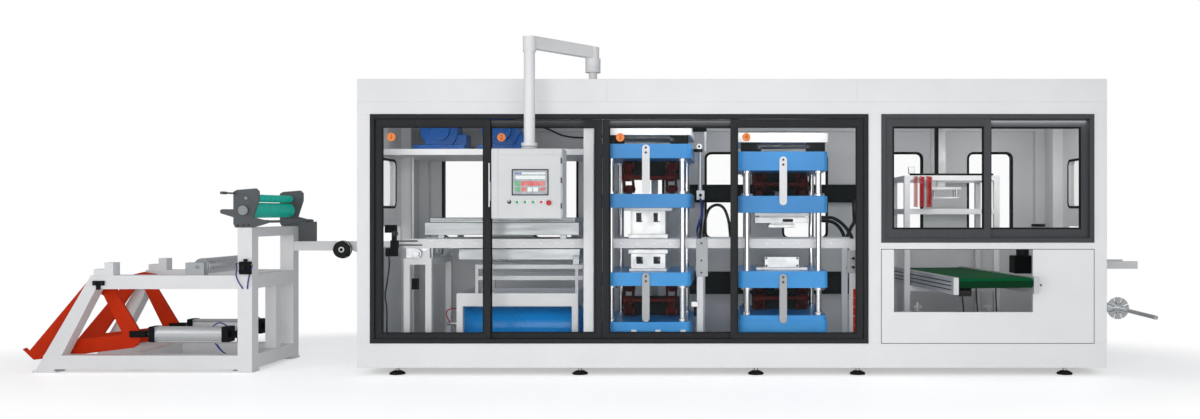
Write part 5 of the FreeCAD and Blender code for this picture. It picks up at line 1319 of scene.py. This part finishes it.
rods = Form()
for y in (331, 1029):
    for dy in (-52, 52):
        for dz in (-52, 52):
            rods.bar((-5334, y + dy, 335 + dz), (-4724, y + dy, 335 + dz), 5, "ground_steel", 10)
    hoses(rods, [[(-4840, y, 398), (-4811, y, 426), (-4751, y, 446), (-4691, y, 400)]], 6, "hose_blue")
rods.piece("cylinder_tie_rods", body_of("lift_barrels"), "ground_steel")

# %% [markdown]
# The panel under the window lies in its opening with a thin dark joint all round.

# %% Joint round the panel
panel_low, panel_high = span("access_panel")
joint = Form()
edge_x, edge_z = (panel_low.x, panel_high.x), (panel_low.z, panel_high.z)
joint.band(rectangle(*shrunk(edge_x, edge_z, -3)), rectangle(*shrunk(edge_x, edge_z, 2)),
           facing_front((panel_low.y - 0.6, panel_low.y + 1)), "rubber_black")
joint.piece("panel_joint", body_of("access_panel"), "black_rubber")

# %% [markdown]
# ## Stacker and outlet
#
# Under the belt hangs its drum motor; cables run down beside it. The stacker's head has a black
# guide post, an air manifold and a geared motor on the right.

# %% Stacker fittings
head = Form()
head.block((1997, 2033), (896, 930), (1846, 2641), "enamel_black", 2)
head.block((1732, 1794), (862, 900), (1846, 1912), "aluminium_plate", 3)
head.block((2755, 2960), (790, 1008), (869, 1040), "enamel_black", 6)
head.bar((2860, 900, 1038), (2860, 900, 1132), 62, "plastic_black", 28)
head.piece("stacker_head_fittings", body_of("stacker_lift"), "black_enamel")

outlet = Form()
outlet.bar((2001, -200, 762), (2104, -200, 762), 38, "plastic_black", 28)
for x in (1820, 2513):
    outlet.block((x - 42, x + 42), (850, 876), (530, 552), "plastic_white", 2)
    outlet.bar((x, 862, 492), (x, 862, 584), 15, "plastic_white", 16)
for top, low in ((2223, 2241), (2358, 2376), (2547, 2556)):
    hoses(outlet, [[(top, 700, 748), (top, 700, 648), (low, 700, 486), (low, 700, 167)]], 7, "hose_black")
outlet.block((3176, 3316), (1690, 1720), (1313, 1342), "enamel_black", 2)
outlet.piece("outlet_fittings", ROOT, "black_enamel")

# %% [markdown]
# ## Light, floor and camera
#
# The machine stands in a white studio: a broad even light all round, with soft boxes in front and
# above that model the edges. The floor is white too. Close to the machine it takes the contact
# shadow, and further out it fades to the backdrop's white. The camera stands about ten metres in
# front at eye level, looking straight at the front; its lens is shifted to frame the whole line.

# %% Studio
WORLD_STRENGTH = 0.38
FLOOR_REACH = (7.2, 3.4)                 # metres along and across where the floor has faded to white
FLOOR_LIFT = 0.42                        # the floor's own glow towards the camera


def backdrop():
    """A white world, a little softer as a light than it looks to the camera."""
    world = bpy.data.worlds.new("studio")
    bpy.context.scene.world = world
    world.use_nodes = True
    tree = world.node_tree
    tree.nodes.clear()
    path = add_node(tree, "ShaderNodeLightPath")
    seen = add_node(tree, "ShaderNodeMath",
                    {0: path.outputs["Is Camera Ray"], 1: path.outputs["Is Transmission Ray"]},
                    operation="MAXIMUM")
    lamp = add_node(tree, "ShaderNodeBackground", {"Color": linear("#F4F6FA"), "Strength": WORLD_STRENGTH})
    white = add_node(tree, "ShaderNodeBackground", {"Color": linear("#FFFFFF"), "Strength": 1.0})
    mixed = add_node(tree, "ShaderNodeMixShader", {0: seen.outputs[0]})
    tree.links.new(lamp.outputs[0], mixed.inputs[1])
    tree.links.new(white.outputs[0], mixed.inputs[2])
    add_node(tree, "ShaderNodeOutputWorld", {"Surface": mixed.outputs[0]})


def floor():
    """A wide white floor. Its own shading shows near the machine and fades to white further out."""
    tree, shader = new_finish("studio_floor")
    shader.inputs["Base Color"].default_value = linear("#FAFAFA")
    shader.inputs["Roughness"].default_value = 0.5
    shader.inputs["Specular IOR Level"].default_value = 0.2
    place = add_node(tree, "ShaderNodeTexCoord")
    shrink = (1 / FLOOR_REACH[0], 1 / FLOOR_REACH[1], 1)
    scaled = add_node(tree, "ShaderNodeMapping", {"Vector": place.outputs["Object"], "Scale": shrink})
    reach = add_node(tree, "ShaderNodeVectorMath", {0: scaled.outputs["Vector"]}, operation="LENGTH")
    fade = add_node(tree, "ShaderNodeMapRange",
                    {"Value": reach.outputs["Value"], "From Min": 0.75, "From Max": 1.0},
                    interpolation_type="SMOOTHSTEP")
    path = add_node(tree, "ShaderNodeLightPath")
    shown = add_node(tree, "ShaderNodeMath", {0: fade.outputs["Result"], 1: path.outputs["Is Camera Ray"]},
                     operation="MULTIPLY")
    glow = add_node(tree, "ShaderNodeEmission", {"Color": linear("#FFFFFF"), "Strength": 1.0})
    lift = add_node(tree, "ShaderNodeMath", {0: path.outputs["Is Camera Ray"], 1: FLOOR_LIFT},
                    operation="MULTIPLY")
    shader.inputs["Emission Color"].default_value = linear("#FFFFFF")
    tree.links.new(lift.outputs[0], shader.inputs["Emission Strength"])
    mixed = add_node(tree, "ShaderNodeMixShader", {0: shown.outputs[0]})
    tree.links.new(shader.outputs["BSDF"], mixed.inputs[1])
    tree.links.new(glow.outputs[0], mixed.inputs[2])
    output = next(n for n in tree.nodes if n.type == "OUTPUT_MATERIAL")
    tree.links.new(mixed.outputs[0], output.inputs["Surface"])
    bpy.ops.mesh.primitive_plane_add(size=80, location=(0, 0, -0.001))
    made = bpy.context.object
    made.name = "studio_floor"
    made.data.materials.append(bpy.data.materials["studio_floor"])


def soft_box(name, place, aim, size, power, hidden=False):
    """A rectangular lamp that looks at a point."""
    lamp = bpy.data.lights.new(name, "AREA")
    lamp.shape = "RECTANGLE"
    lamp.size, lamp.size_y = size
    lamp.energy = power
    made = bpy.data.objects.new(name, lamp)
    bpy.context.scene.collection.objects.link(made)
    made.location = place
    made.rotation_euler = (Vector(aim) - Vector(place)).to_track_quat("-Z", "Y").to_euler()
    made.visible_camera = False
    made.visible_glossy = not hidden
    made.visible_transmission = False


backdrop()
floor()
soft_box("front_box", at(0, -8500, 2600), at(0, 0, 1300), (12, 5), 400)
soft_box("low_box", at(-400, -3500, 420), at(-400, 0, 500), (11, 0.8), 34, True)
soft_box("left_box", at(-9500, -4500, 3600), at(-3000, 0, 1000), (3, 4), 90)
for lamp_x, power in ((-2300, 4), (-150, 12), (2250, 10)):
    soft_box("room_lamp_%d" % lamp_x, at(lamp_x, 110, 2330), at(lamp_x, 900, 900), (1.9, 0.2), power, True)

# %% Camera
EYE = at(0, -9600, 1470)
camera = bpy.data.cameras.new("camera")
camera.lens, camera.sensor_width = 32, 36
camera.shift_x, camera.shift_y = -0.11, 0.002
viewer = bpy.data.objects.new("camera", camera)
bpy.context.scene.collection.objects.link(viewer)
viewer.location = EYE
viewer.rotation_euler = (math.pi / 2, 0, 0)
bpy.context.scene.camera = viewer
bpy.context.scene.view_settings.view_transform = "Standard"
print("camera at", [round(v, 3) for v in EYE], "with a lens of", camera.lens, "mm")
